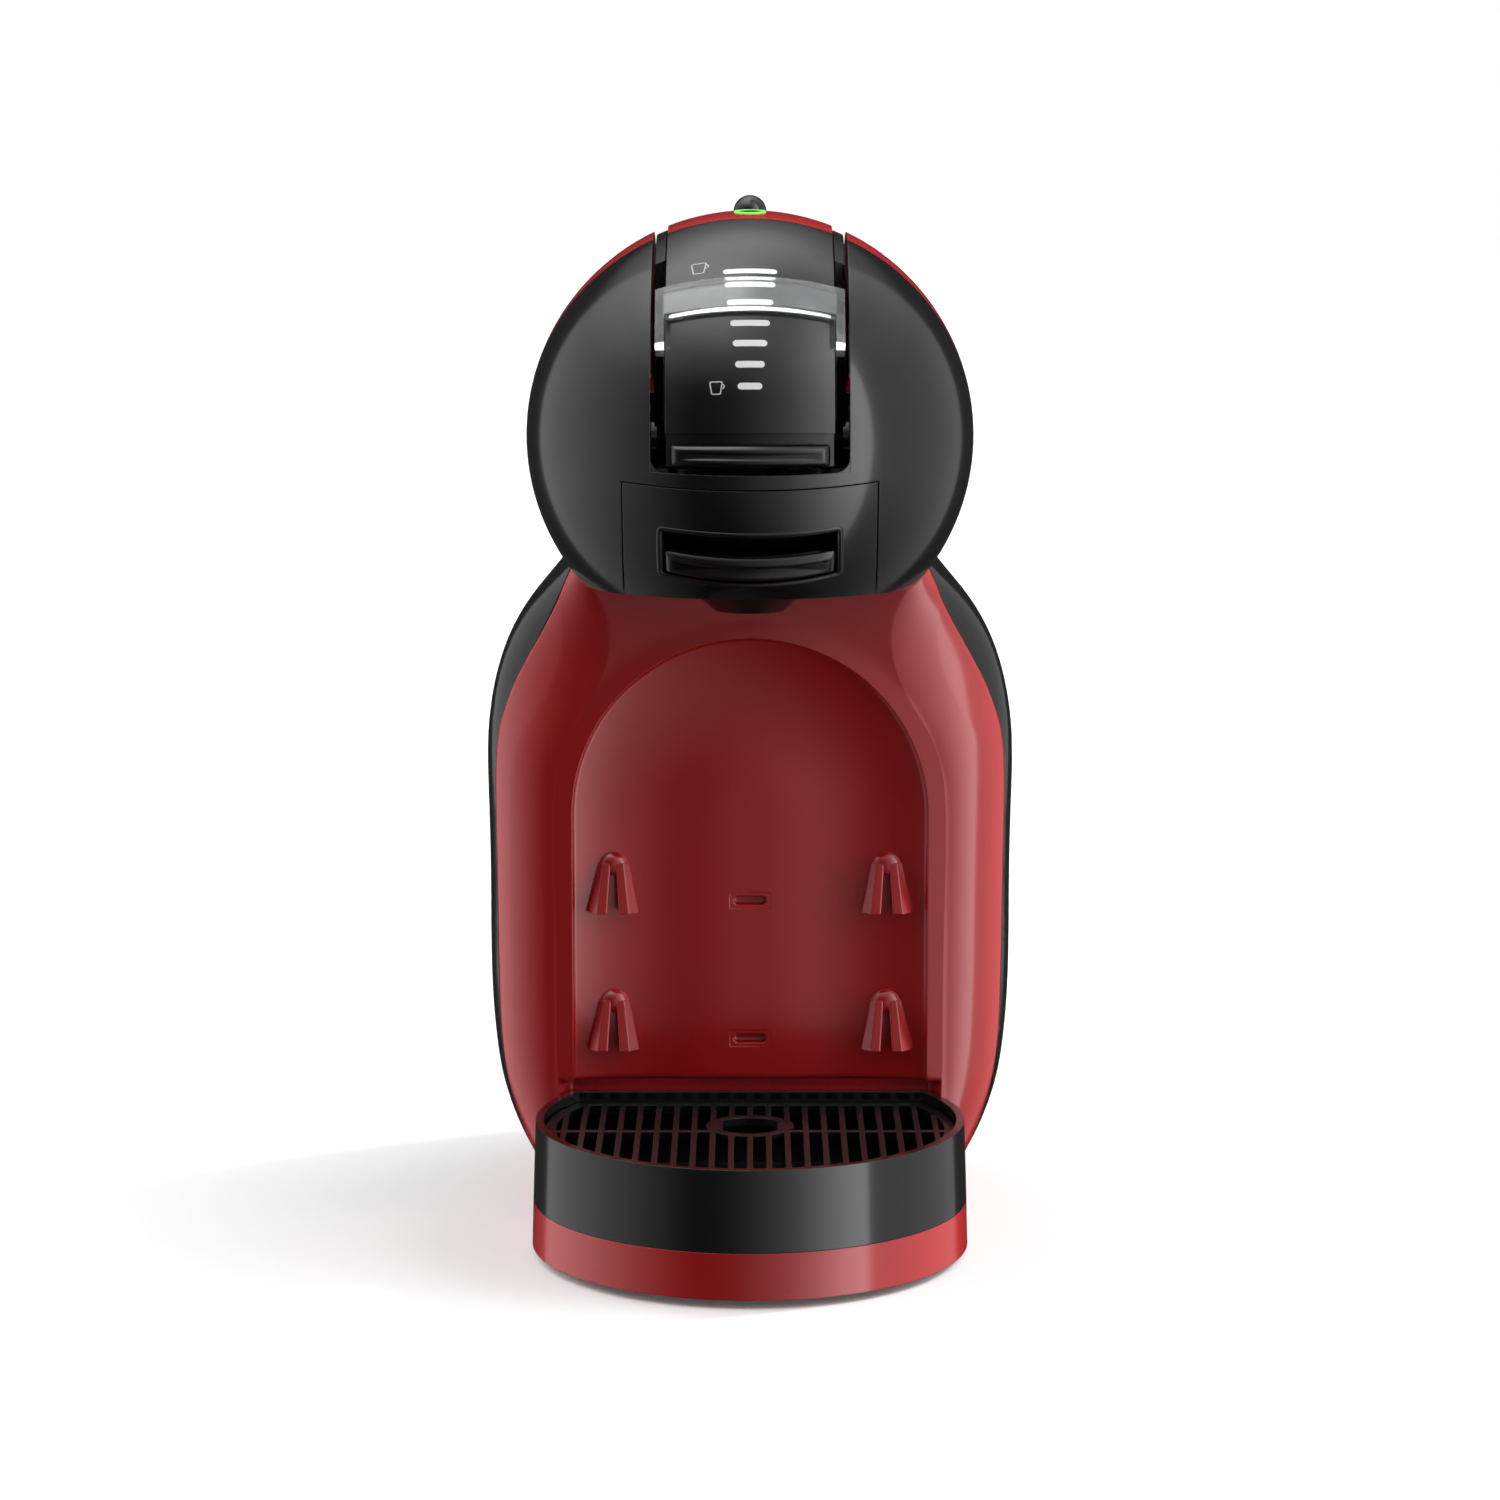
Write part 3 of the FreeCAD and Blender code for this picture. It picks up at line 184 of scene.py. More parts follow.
mirror_sides = brightness_ramp(azimuth_share, [
    (turn(-138), 0.03), (turn(-136), 0.60), (turn(-100), 0.72), (turn(-70), 0.50), (turn(-32), 0.05),
    (turn(-20), 0.06), (turn(-8), 0.11), (turn(4), 0.30), (turn(20), 0.60), (turn(36), 1.40),
    (turn(64), 3.3), (turn(66), 0.60), (turn(138), 0.45), (turn(140), 0.03)], 3.3)
mirror_reach = brightness_ramp(elevation_share, [
    (tilt(-75), 0.0), (tilt(-50), 0.35), (tilt(-14), 1.0), (tilt(40), 1.0), (tilt(66), 0.2),
    (tilt(80), 0.0)], 1.0)
top_reach = brightness_ramp(elevation_share, [
    (tilt(26), 0.0), (tilt(44), 0.6), (tilt(60), 1.9), (tilt(90), 2.8)], 2.8)
top_side = brightness_ramp(azimuth_share, [
    (turn(-179), 0.8), (turn(-90), 1.1), (turn(-20), 1.0), (turn(10), 0.5), (turn(40), 0.22),
    (turn(90), 0.3), (turn(179), 0.8)], 1.1)
matte_sides = brightness_ramp(azimuth_share, [
    (turn(-160), 0.5), (turn(-135), 4.0), (turn(-92), 4.0), (turn(-66), 0.3), (turn(-20), 0.10),
    (turn(20), 0.30), (turn(55), 0.9), (turn(80), 4.3), (turn(125), 3.4), (turn(155), 0.5)], 4.3)
matte_reach = brightness_ramp(elevation_share, [
    (tilt(-60), 0.02), (tilt(-30), 0.2), (tilt(-5), 1.0), (tilt(45), 0.8), (tilt(75), 0.4),
    (tilt(90), 0.4)], 1.0)
overhead = sky_math("MULTIPLY", top_reach, top_side)
mirror = sky_math("ADD", sky_math("MULTIPLY", mirror_sides, mirror_reach), overhead)
matte = sky_math("ADD", sky_math("MULTIPLY", matte_sides, matte_reach), sky_math("MULTIPLY", overhead, 0.12))

kind = sky.nodes.new("ShaderNodeLightPath")
from_matte = sky_math("MULTIPLY", matte, kind.outputs["Is Diffuse Ray"])
from_mirror = sky_math("MULTIPLY", mirror, kind.outputs["Is Glossy Ray"])
clear = sky_math("ADD", kind.outputs["Is Camera Ray"], kind.outputs["Is Transmission Ray"])
strength = sky_math("ADD", sky_math("ADD", from_matte, from_mirror), sky_math("MINIMUM", clear, 1.0))
glow = sky.nodes.new("ShaderNodeBackground")
sky_out = sky.nodes.new("ShaderNodeOutputWorld")
glow.inputs["Color"].default_value = (1.0, 1.0, 1.0, 1.0)
sky.links.new(strength, glow.inputs["Strength"])
sky.links.new(glow.outputs[0], sky_out.inputs[0])
scene.view_settings.view_transform = "Standard"
print("world", world.name, "nodes", len(sky.nodes))

# %% [markdown]
# ## Effects that several finishes share
# Moulded plastic is never quite even. Four small node groups carry what the finishes have in common:
# a slow drift of the colour, the fine grain of the mould, a thin lighter line on edges that is partly wear
# and partly a painted highlight, and dust that settles on faces that look up. Each is built once and placed
# in a material with its own values.

# %% Group helpers
def new_group(name, inputs, outputs):
    """A shader node group: inputs are (name, socket type, default), outputs are (name, socket type)."""
    group = bpy.data.node_groups.new(name, "ShaderNodeTree")
    for label, kind, value in inputs:
        socket = group.interface.new_socket(label, in_out="INPUT", socket_type=kind)
        socket.default_value = value
    for label, kind in outputs:
        group.interface.new_socket(label, in_out="OUTPUT", socket_type=kind)
    start = group.nodes.new("NodeGroupInput")
    end = group.nodes.new("NodeGroupOutput")
    return group, start, end


FLOAT, COLOUR, VECTOR = "NodeSocketFloat", "NodeSocketColor", "NodeSocketVector"


def scaled_noise(tree, scale_socket, detail, stretch=(1.0, 1.0, 1.0)):
    """Noise on the piece's own coordinates, stretched along its axes."""
    coords = tree.nodes.new("ShaderNodeTexCoord")
    mapping = tree.nodes.new("ShaderNodeMapping")
    mapping.inputs["Scale"].default_value = stretch
    noise = tree.nodes.new("ShaderNodeTexNoise")
    noise.inputs["Detail"].default_value = detail
    tree.links.new(coords.outputs["Object"], mapping.inputs["Vector"])
    tree.links.new(mapping.outputs["Vector"], noise.inputs["Vector"])
    if scale_socket is not None:
        tree.links.new(scale_socket, noise.inputs["Scale"])
    return noise


def math_node(tree, operation, a, b):
    """One arithmetic step in a tree. Each of a and b is a number or another node's output."""
    node = tree.nodes.new("ShaderNodeMath")
    node.operation = operation
    for socket, value in zip(node.inputs, (a, b)):
        if isinstance(value, (int, float)):
            socket.default_value = value
        else:
            tree.links.new(value, socket)
    return node.outputs[0]


def mix_colour(tree, factor, a, b):
    """Colour a where the factor is 0 and colour b where it is 1."""
    node = tree.nodes.new("ShaderNodeMix")
    node.data_type = "RGBA"
    for socket, value in zip((node.inputs[0], node.inputs[6], node.inputs[7]), (factor, a, b)):
        if hasattr(value, "is_output"):
            tree.links.new(value, socket)
        else:
            socket.default_value = value
    return node.outputs[2]


# %% Colour drift
drift, d_in, d_out = new_group(
    "colour_drift",
    [("Colour", COLOUR, (0.5, 0.5, 0.5, 1)), ("Other colour", COLOUR, (0.4, 0.4, 0.4, 1)),
     ("Scale", FLOAT, 14.0)],
    [("Colour", COLOUR)],
)
cloud = scaled_noise(drift, d_in.outputs["Scale"], 3.0)
drifting = mix_colour(drift, cloud.outputs["Fac"], d_in.outputs["Colour"], d_in.outputs["Other colour"])
drift.links.new(drifting, d_out.inputs["Colour"])

# %% Mould grain
grain, g_in, g_out = new_group(
    "mould_grain",
    [("Scale", FLOAT, 1500.0), ("Roughness", FLOAT, 0.3), ("Spread", FLOAT, 0.06)],
    [("Height", FLOAT), ("Roughness", FLOAT)],
)
fine = scaled_noise(grain, g_in.outputs["Scale"], 2.0)
slow_scale = math_node(grain, "MULTIPLY", g_in.outputs["Scale"], 0.02)
slow = scaled_noise(grain, slow_scale, 4.0)
grain.links.new(fine.outputs["Fac"], g_out.inputs["Height"])
centred = math_node(grain, "SUBTRACT", slow.outputs["Fac"], 0.5)
swing = math_node(grain, "MULTIPLY", centred, g_in.outputs["Spread"])
grain.links.new(math_node(grain, "ADD", g_in.outputs["Roughness"], swing), g_out.inputs["Roughness"])

# %% Edge wear and painted edge highlight
edge, e_in, e_out = new_group(
    "edge_wear_and_highlight",
    [("Colour", COLOUR, (0.5, 0.5, 0.5, 1)), ("Edge colour", COLOUR, (0.6, 0.6, 0.6, 1)),
     ("Amount", FLOAT, 0.5)],
    [("Colour", COLOUR), ("Mask", FLOAT), ("Normal", VECTOR)],
)
round_edge = edge.nodes.new("ShaderNodeBevel")
round_edge.samples = 4
round_edge.inputs["Radius"].default_value = 0.0005
true_face = edge.nodes.new("ShaderNodeNewGeometry")
alike = edge.nodes.new("ShaderNodeVectorMath")
alike.operation = "DOT_PRODUCT"
edge.links.new(round_edge.outputs[0], alike.inputs[0])
edge.links.new(true_face.outputs["Normal"], alike.inputs[1])
# Where the rounded normal turns away from the true face there is an edge. The lighter colour there is partly wear
# and partly a painted highlight, the light a rounded edge would catch.
turned = math_node(edge, "SUBTRACT", 1.0, alike.outputs["Value"])
strong = math_node(edge, "MULTIPLY", turned, 5.0)
patchy = scaled_noise(edge, None, 3.0)
patchy.inputs["Scale"].default_value = 90.0
wear_and_highlight_amount = math_node(edge, "MULTIPLY", patchy.outputs["Fac"], e_in.outputs["Amount"])
worn_and_lit = math_node(edge, "MULTIPLY", strong, wear_and_highlight_amount)
limited = math_node(edge, "MINIMUM", worn_and_lit, 1.0)
edge.links.new(limited, e_out.inputs["Mask"])
worn_and_lit_colour = mix_colour(edge, limited, e_in.outputs["Colour"], e_in.outputs["Edge colour"])
edge.links.new(worn_and_lit_colour, e_out.inputs["Colour"])
edge.links.new(round_edge.outputs[0], e_out.inputs["Normal"])

# %% Dust
dust, u_in, u_out = new_group(
    "fine_dust",
    [("Colour", COLOUR, (0.5, 0.5, 0.5, 1)), ("Roughness", FLOAT, 0.3), ("Amount", FLOAT, 0.05)],
    [("Colour", COLOUR), ("Roughness", FLOAT)],
)
facing = dust.nodes.new("ShaderNodeNewGeometry")
height_part = dust.nodes.new("ShaderNodeSeparateXYZ")
dust.links.new(facing.outputs["Normal"], height_part.inputs[0])
looks_up = math_node(dust, "MAXIMUM", height_part.outputs["Z"], 0.0)
specks = scaled_noise(dust, None, 6.0)
specks.inputs["Scale"].default_value = 260.0
patches = math_node(dust, "MULTIPLY", specks.outputs["Fac"], u_in.outputs["Amount"])
settled = math_node(dust, "MULTIPLY", looks_up, patches)
dusty = mix_colour(dust, settled, u_in.outputs["Colour"], (0.55, 0.53, 0.5, 1))
dust.links.new(dusty, u_out.inputs["Colour"])
dust.links.new(math_node(dust, "ADD", u_in.outputs["Roughness"], settled), u_out.inputs["Roughness"])
print("groups", [g.name for g in bpy.data.node_groups])

# %% [markdown]
# ## The finishes
# One function makes a finish: drift, then edge wear with a painted edge highlight, then dust feed the
# colour; the mould's grain feeds roughness and a very low bump. What is the same all over a surface, such
# as the clear coat or the way a plastic bends light, is set straight on the shader.

# %% Finish function
def finish(name, colour, other, roughness, grain_scale=1500.0, grain_height=0.00001, spread=0.05,
           dust_amount=0.012, rounded=True, **constants):
    """A moulded, cast or cut surface. Names in constants are Principled sockets, with _ for a space."""
    material = bpy.data.materials.new(name)
    material.use_nodes = True
    tree = material.node_tree
    shader = tree.nodes["Principled BSDF"]
    for socket, value in constants.items():
        shader.inputs[socket.replace("_", " ")].default_value = value

    def place(group, **values):
        """The group as a node. Names in values are its sockets, with _ for a space."""
        node = tree.nodes.new("ShaderNodeGroup")
        node.node_tree = group
        for label, value in values.items():
            socket = node.inputs[label.replace("_", " ")]
            if hasattr(value, "is_output"):
                tree.links.new(value, socket)
            else:
                socket.default_value = value
        return node

    drifted = place(drift, Colour=(*colour, 1), Other_colour=(*other, 1))
    grained = place(grain, Scale=grain_scale, Roughness=roughness, Spread=spread)
    last = drifted.outputs["Colour"]
    bump = tree.nodes.new("ShaderNodeBump")
    bump.inputs["Distance"].default_value = grain_height
    tree.links.new(grained.outputs["Height"], bump.inputs["Height"])
    if rounded:
        # A lighter tone of the colour along edges: partly wear, partly a painted highlight.
        lighter = tuple(min(1.0, c * 1.6 + 0.03) for c in colour)
        edged = place(edge, Colour=last, Edge_colour=(*lighter, 1), Amount=0.35)
        last = edged.outputs["Colour"]
        tree.links.new(edged.outputs["Normal"], bump.inputs["Normal"])
    dusted = place(dust, Colour=last, Roughness=grained.outputs["Roughness"], Amount=dust_amount)
    tree.links.new(dusted.outputs["Colour"], shader.inputs["Base Color"])
    tree.links.new(dusted.outputs["Roughness"], shader.inputs["Roughness"])
    tree.links.new(bump.outputs["Normal"], shader.inputs["Normal"])
    return material


# %% Plastics
finishes = {}
finishes["red_gloss"] = finish(
    "deep_red_gloss", (0.50, 0.006, 0.008), (0.46, 0.005, 0.007), 0.26, grain_scale=2200.0,
    Specular_IOR_Level=0.55, Coat_Weight=0.75, Coat_Roughness=0.13)
finishes["black_gloss"] = finish(
    "piano_black", (0.006, 0.006, 0.0065), (0.004, 0.004, 0.0045), 0.20, grain_scale=2600.0,
    grain_height=0.000004, dust_amount=0.008, Coat_Weight=0.5, Coat_Roughness=0.05)
finishes["black_satin"] = finish(
    "satin_black", (0.010, 0.010, 0.011), (0.007, 0.007, 0.008), 0.24, grain_scale=900.0,
    grain_height=0.00004)
finishes["clear_plastic"] = finish(
    "clear_bracket", (0.97, 0.98, 0.98), (0.94, 0.96, 0.97), 0.03, rounded=False, dust_amount=0.01,
    spread=0.02, Transmission_Weight=0.96, IOR=1.45)
finishes["smoked_plastic"] = finish(
    "smoked_tank", (0.30, 0.31, 0.33), (0.26, 0.27, 0.29), 0.08, rounded=False, dust_amount=0.02,
    spread=0.03, Transmission_Weight=0.9, IOR=1.45)
finishes["rubber_black"] = finish(
    "black_rubber", (0.02, 0.02, 0.02), (0.028, 0.027, 0.026), 0.75, grain_scale=1200.0,
    grain_height=0.00006)
finishes["silicone"] = finish(
    "milky_silicone", (0.72, 0.71, 0.68), (0.64, 0.63, 0.60), 0.45, rounded=False, Subsurface_Weight=0.1)
finishes["inner_plastic"] = finish(
    "grey_nylon", (0.10, 0.10, 0.105), (0.08, 0.08, 0.085), 0.55, grain_scale=700.0, grain_height=0.00006)
finishes["white_plastic"] = finish(
    "natural_nylon", (0.74, 0.73, 0.69), (0.68, 0.67, 0.63), 0.5, grain_scale=800.0)
finishes["board_green"] = finish(
    "circuit_board", (0.02, 0.13, 0.045), (0.015, 0.10, 0.035), 0.3, grain_scale=400.0)
finishes["part_plastic"] = finish(
    "part_black", (0.03, 0.03, 0.033), (0.045, 0.045, 0.05), 0.5)
print("plastics", len(finishes))

# %% Metals and lights
finishes["steel"] = finish(
    "bright_steel", (0.55, 0.55, 0.56), (0.48, 0.48, 0.50), 0.28, grain_scale=1800.0, Metallic=1.0)
finishes["cast_alloy"] = finish(
    "cast_alloy", (0.56, 0.57, 0.58), (0.50, 0.51, 0.53), 0.46, grain_scale=500.0, grain_height=0.00012,
    Metallic=1.0)
finishes["light_window"] = finish(
    "lit_window", (0.80, 0.80, 0.79), (0.72, 0.72, 0.71), 0.3, rounded=False,
    Emission_Color=(1.0, 1.0, 0.98, 1), Emission_Strength=0.25)
# The printed grey glows faintly: painted light, since print is no lamp.
finishes["print_grey_painted_glow"] = finish(
    "printed_grey_painted_glow", (0.62, 0.62, 0.62), (0.55, 0.55, 0.55), 0.4, rounded=False,
    Emission_Color=(1.0, 1.0, 1.0, 1), Emission_Strength=0.08)
finishes["ring_window"] = finish(
    "green_light", (0.12, 0.45, 0.06), (0.10, 0.40, 0.05), 0.3, rounded=False,
    Emission_Color=(0.25, 1.0, 0.12, 1), Emission_Strength=0.8)
print("finishes", sorted(finishes))

# %% [markdown]
# ## Finishes on the CAD pieces
# The record says which finish each node takes. A node keeps its shape and place; only its material slot
# changes.

# %% Give every node its finish
slot_of = {part["node"]: part["material_slot"] for part in frame["record"]["subparts"]}
for name, node in nodes.items():
    for holder in node.material_slots:
        holder.material = finishes[slot_of[name]]
print("painted", len(slot_of))

# %% [markdown]
# ## Surfaces from arrays
# Each new piece is a grid of points: rows run one way over the surface and columns the other. One helper
# joins neighbouring points into quads. It can close the grid into a ring, and it can close the first and
# last row to a point, which caps a turned shape. The head is a ball round the arm's hinge, so the frame
# gives its centre and its radius.

# %% Grid to mesh
MM = 0.001
hinge = next(joint for joint in frame["joints"] if joint["name"] == "locking_handle")
_, head_y, head_z = (round(place / MM, 3) for place in hinge["pos_m"])
head_radius = round(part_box("face_cover")[1][0] / MM, 1)
print("head centre", head_y, head_z, "radius", head_radius)


def grid_faces(points, ring=False, loop=False, caps=(False, False), flip=False):
    """Vertices and faces of points[row, column, xyz]. With ring the last column joins the first, and with
    loop the last row joins the first. A cap adds one point, the mean of its end row, and a fan."""
    rows, columns = points.shape[:2]
    index = np.arange(rows * columns).reshape(rows, columns)
    right = np.roll(index, -1, axis=1) if ring else index[:, 1:]
    left = index if ring else index[:, :-1]
    low = slice(None) if loop else slice(None, -1)
    above_left = np.roll(left, -1, axis=0)[low]
    above_right = np.roll(right, -1, axis=0)[low]
    quads = np.stack([left[low], right[low], above_right, above_left], axis=-1).reshape(-1, 4)
    vertices = points.reshape(-1, 3)
    faces = quads.tolist()
    for row in (0, -1):
        if caps[row]:
            fan = np.stack([left[row], right[row], np.full(left[row].shape, len(vertices))], axis=-1)
            faces += (fan[:, ::-1] if row == 0 else fan).tolist()
            vertices = np.vstack([vertices, points[row].mean(axis=0)])
    return vertices, [face[::-1] for face in faces] if flip else faces


def new_piece(name, grids, finish_name, body, smooth=True):
    """One object from one or more grids. It rides on a body of the machine and takes one finish. Printed
    marks have a finish that no node of the record has."""
    vertices, faces, start = [], [], 0
    for grid_vertices, grid_quads in grids:
        vertices.append(grid_vertices)
        faces += [[start + i for i in face] for face in grid_quads]
        start += len(grid_vertices)
    mesh = bpy.data.meshes.new(name)
    mesh.from_pydata(np.vstack(vertices).tolist(), [], faces)
    if smooth:
        mesh.shade_smooth()
    piece = bpy.data.objects.new(name, mesh)
    scene.collection.objects.link(piece)
    mesh.materials.append(finishes[finish_name])
    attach(piece, body)
    print(name, "faces", len(faces))
    return piece


def smooth_line(places, values, at):
    """A natural cubic spline through the values, read at other places."""
    places, values = np.array(places, float), np.array(values, float)
    step = np.diff(places)
    count = len(places)
    system = np.eye(count)
    right_side = np.zeros(count)
    inner = np.arange(1, count - 1)
    system[inner, inner - 1] = step[:-1]
    system[inner, inner] = 2.0 * (step[:-1] + step[1:])
    system[inner, inner + 1] = step[1:]
    right_side[1:-1] = 6.0 * (np.diff(values)[1:] / step[1:] - np.diff(values)[:-1] / step[:-1])
    bend = np.linalg.solve(system, right_side)
    part = np.clip(np.searchsorted(places, at) - 1, 0, count - 2)
    width = step[part]
    after = (at - places[part]) / width
    before = 1.0 - after
    straight = before * values[part] + after * values[part + 1]
    curved = (before ** 3 - before) * bend[part] + (after ** 3 - after) * bend[part + 1]
    return straight + width ** 2 / 6.0 * curved


# %% [markdown]
# ## Front shell
# The red front shell is one moulding: a flat flange down the middle, round shoulders that sweep back to
# the black rear shell, and a shallow dish for the cup. Its rows are heights. Its columns follow the dish's
# arched edge, so that the edge stays crisp without a dense mesh: inside the arch they shrink towards the
# middle, and outside it they run out over the flange and round the shoulder.

# %% Front shell rows and plan
flange_y, widest_y = -28.0, -2.0
bay_centre_y, bay_radius, bay_back_y = -56.6, 64.8, -21.5
trim_from_z, shell_top_z = 190.0, 200.0
station_z = [2, 12, 24, 40, 62, 96, 128, 148, 163, 176, 188, 198, 209]
half_widths = [52, 63.6, 70.6, 76.2, 79, 79.6, 80, 79.9, 77.7, 73.6, 66.9, 58.8, 51]
flat_widths = [44, 51.5, 56, 58, 58.3, 58.6, 58.7, 54.6, 46, 42.3, 44.2, 48.3, 46]
arch_radius, arch_z, dish_low_z = 53.5, 125.0, 43.6

notch_z, notch_room_x, notch_room_z = (55.9, 98.4), 6.0, 2.4
low_notch, high_notch = notch_z
notch_rows = np.array([-0.3, 0.0, 1.6, 3.2, 4.8, 5.1]) - notch_room_z
rows_z = np.concatenate([
    np.linspace(15.7, 43.4, 16),
    np.linspace(dish_low_z, low_notch - 3.5, 9),
    low_notch + notch_rows,
    np.linspace(low_notch + 3.5, high_notch - 3.5, 32),
    high_notch + notch_rows,
    np.linspace(high_notch + 3.5, arch_z, 24)[:-1],
    arch_z + arch_radius * np.sin(np.radians(np.linspace(0.0, 90.0, 52))),
    np.linspace(179.2, shell_top_z, 20),
])
arch_half = np.where(rows_z < arch_z, arch_radius,
                     np.sqrt(np.clip(arch_radius ** 2 - (rows_z - arch_z) ** 2, 36.0, None)))


def shell_plan(z):
    """Half width and flat half width of the body at a height."""
    return smooth_line(station_z, half_widths, z), smooth_line(station_z, flat_widths, z)


wide, flat = shell_plan(rows_z)
flat = np.maximum(flat, arch_half + 0.5)
parting_y = np.interp(rows_z, [125, 150, 165, 178, 190, 205], [-14.0, -14.6, -16.4, -19.0, -21.6, -24.0])

notch_share = [notch_room_x / arch_radius, (notch_room_x + 0.3) / arch_radius]
dish_share = np.array([0, *notch_share, .2, .3, .4, .5, .58, .66, .73, .79, .84, .88, .915, .945, .965, .978,
                       .986, .991, .9945, .997, 1.0])
flange_share = np.array([.02, .1, .3, .5, .7, .9, .97])
inside_x = arch_half[:, None] * dish_share
outside_x = arch_half[:, None] + (flat - arch_half)[:, None] * flange_share
flat_x = np.hstack([inside_x, outside_x])
print("rows", len(rows_z), "flat columns", flat_x.shape[1])

# %% Shoulder curve
bezier_steps = np.linspace(0.0, 1.0, 400)


def shoulder(t, wide_now, flat_now):
    """The cubic Bezier round the front corner: from the flat's end, leaning back by 12 degrees, to the
    widest point, where it runs straight back."""
    corner = wide_now - flat_now
    lean = math.tan(math.radians(12.0))
    pull = 0.475 * (widest_y - flange_y)
    xs = (flat_now, flat_now + 0.6 * corner, wide_now, wide_now)
    ys = (flange_y, flange_y + 0.6 * corner * lean, widest_y - pull, widest_y)
    weights = ((1 - t) ** 3, 3 * t * (1 - t) ** 2, 3 * t ** 2 * (1 - t), t ** 3)
    return sum(w * x for w, x in zip(weights, xs)), sum(w * y for w, y in zip(weights, ys))


_, sample_y = shoulder(bezier_steps[None, :], wide[:, None], flat[:, None])
reach = bezier_steps[np.argmax(sample_y > parting_y[:, None], axis=1)]
shoulder_share = np.concatenate([[0.0, 0.006, 0.02], np.linspace(0.05, 1.0, 34)])
shoulder_x, shoulder_y = shoulder(reach[:, None] * shoulder_share, wide[:, None], flat[:, None])
half_x = np.hstack([flat_x, shoulder_x])
half_y = np.hstack([np.full_like(flat_x, flange_y), shoulder_y])
print("shoulder columns", shoulder_x.shape[1])

# %% Dish, tray bay and the cut under the head
row_z = np.repeat(rows_z[:, None], half_x.shape[1], axis=1)
from_middle = np.where(row_z > arch_z, np.hypot(half_x, row_z - arch_z), half_x)
from_edge = np.clip(arch_radius - from_middle, 0.0, None)
edge_step = 1.2 * np.sin(np.clip(from_edge / 0.8, 0.0, 1.0) * math.pi / 2)
hollow = np.clip(from_edge / 26.0, 0.0, 1.0)
bulge = 0.65 * (1.0 + np.cos(math.pi * np.clip((from_middle - 6.5) / 23.5, 0.0, 1.0)))
dish_depth = edge_step - bulge + 4.1 * (1.0 - (1.0 - hollow) ** 2.4)
in_dish = (row_z > dish_low_z - 0.05) & (from_edge > 0.0)
half_y = np.where(in_dish, flange_y + dish_depth, half_y)
beside_arch = np.clip(from_middle - arch_radius, 0.0, 6.0)
fades = np.clip(1.0 - (half_x - flat[:, None]) / 14.0, 0.0, 1.0)
half_y = half_y + 0.16 * beside_arch * fades
bay_wall = bay_centre_y + np.sqrt(np.clip(bay_radius ** 2 - half_x ** 2, 0.0, None))
bay_wall = np.minimum(bay_back_y, bay_wall)
in_bay = row_z < dish_low_z - 0.1
half_y = np.where(in_bay, np.maximum(half_y, bay_wall), half_y)

head_room = (head_radius + 0.5) ** 2 - half_x ** 2 - (half_y - head_y) ** 2
under_head = head_z - np.sqrt(np.clip(head_room, 0.0, None))
top_of_column = np.clip(under_head[-1], 196.5, shell_top_z)
squeeze = (top_of_column - trim_from_z) / (shell_top_z - trim_from_z)
row_z = np.where(row_z > trim_from_z, trim_from_z + (row_z - trim_from_z) * squeeze, row_z)

half = np.stack([half_x, half_y, row_z], axis=-1)
whole = np.concatenate([half[:, :0:-1] * (-1, 1, 1), half], axis=1)
shell_vertices, shell_faces = grid_faces(whole)
middle_x, _, middle_z = shell_vertices[np.array(shell_faces)].mean(axis=1).T
near_notch = np.any([np.abs(middle_z - z) < notch_room_z for z in notch_z], axis=0)
in_notch_room = near_notch & (np.abs(middle_x) < notch_room_x)
kept_faces = [face for face, gone in zip(shell_faces, in_notch_room) if not gone]
front_shell = new_piece("front_shell", [(shell_vertices * MM, kept_faces)], "red_gloss", "housing")
wall = front_shell.modifiers.new("wall", "SOLIDIFY")
wall.thickness = 0.0022
wall.offset = -1.0
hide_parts("front_body_shell")

# %% [markdown]
# ## Tray notches and hooks
# Two slots in the dish take a tongue on the tray's back, and two pairs of wedge hooks carry the tray higher
# for small cups. A slot is a stack of rings: a rectangle that fills the gap left in the shell, then a
# stadium that turns over a small lip and drops to a dark floor. A hook is two tapered legs with a hood.

# %% Notches
dish_y = flange_y + 4.0
turn_angles = np.radians(np.arange(0.0, 360.0, 5.0))


def stadium_ring(half_long, half_high, y, z):
    """A ring with straight top and bottom and round ends, in the plane of the dish."""
    x = np.sign(np.cos(turn_angles)) * (half_long - half_high) + half_high * np.cos(turn_angles)
    return np.stack([x, np.full_like(x, y), z + half_high * np.sin(turn_angles)], axis=-1)


def notch_grid(z):
    """Rings from the rectangle in to the middle of the slot's floor. The rectangle's points are cosine and
    sine over the larger of the two, times half its width and half its height."""
    larger = np.maximum(np.abs(np.cos(turn_angles)), np.abs(np.sin(turn_angles)))
    along, up = np.cos(turn_angles) / larger, np.sin(turn_angles) / larger
    square = np.stack([notch_room_x * along, np.full_like(along, dish_y), z + notch_room_z * up], axis=-1)
    steps = [(0.6, 0.0), (0.3, 0.0), (0.1, 0.0), (0.0, 0.06), (-0.08, 0.3), (-0.1, 1.2), (-0.1, 2.4),
             (-0.6, 2.6), (-1.2, 2.6)]
    rings = [square] + [stadium_ring(5.0 + grow, 1.4 + grow, dish_y + deep, z) for grow, deep in steps]
    return grid_faces(np.stack(rings) * MM, ring=True, caps=(False, True))


new_piece("tray_notches", [notch_grid(z) for z in notch_z], "red_gloss", "housing")

# %% Hooks
hook_x, hook_z, hook_tall = 41.2, (53.0, 95.2), 15.0
hook_back = flange_y + 4.6


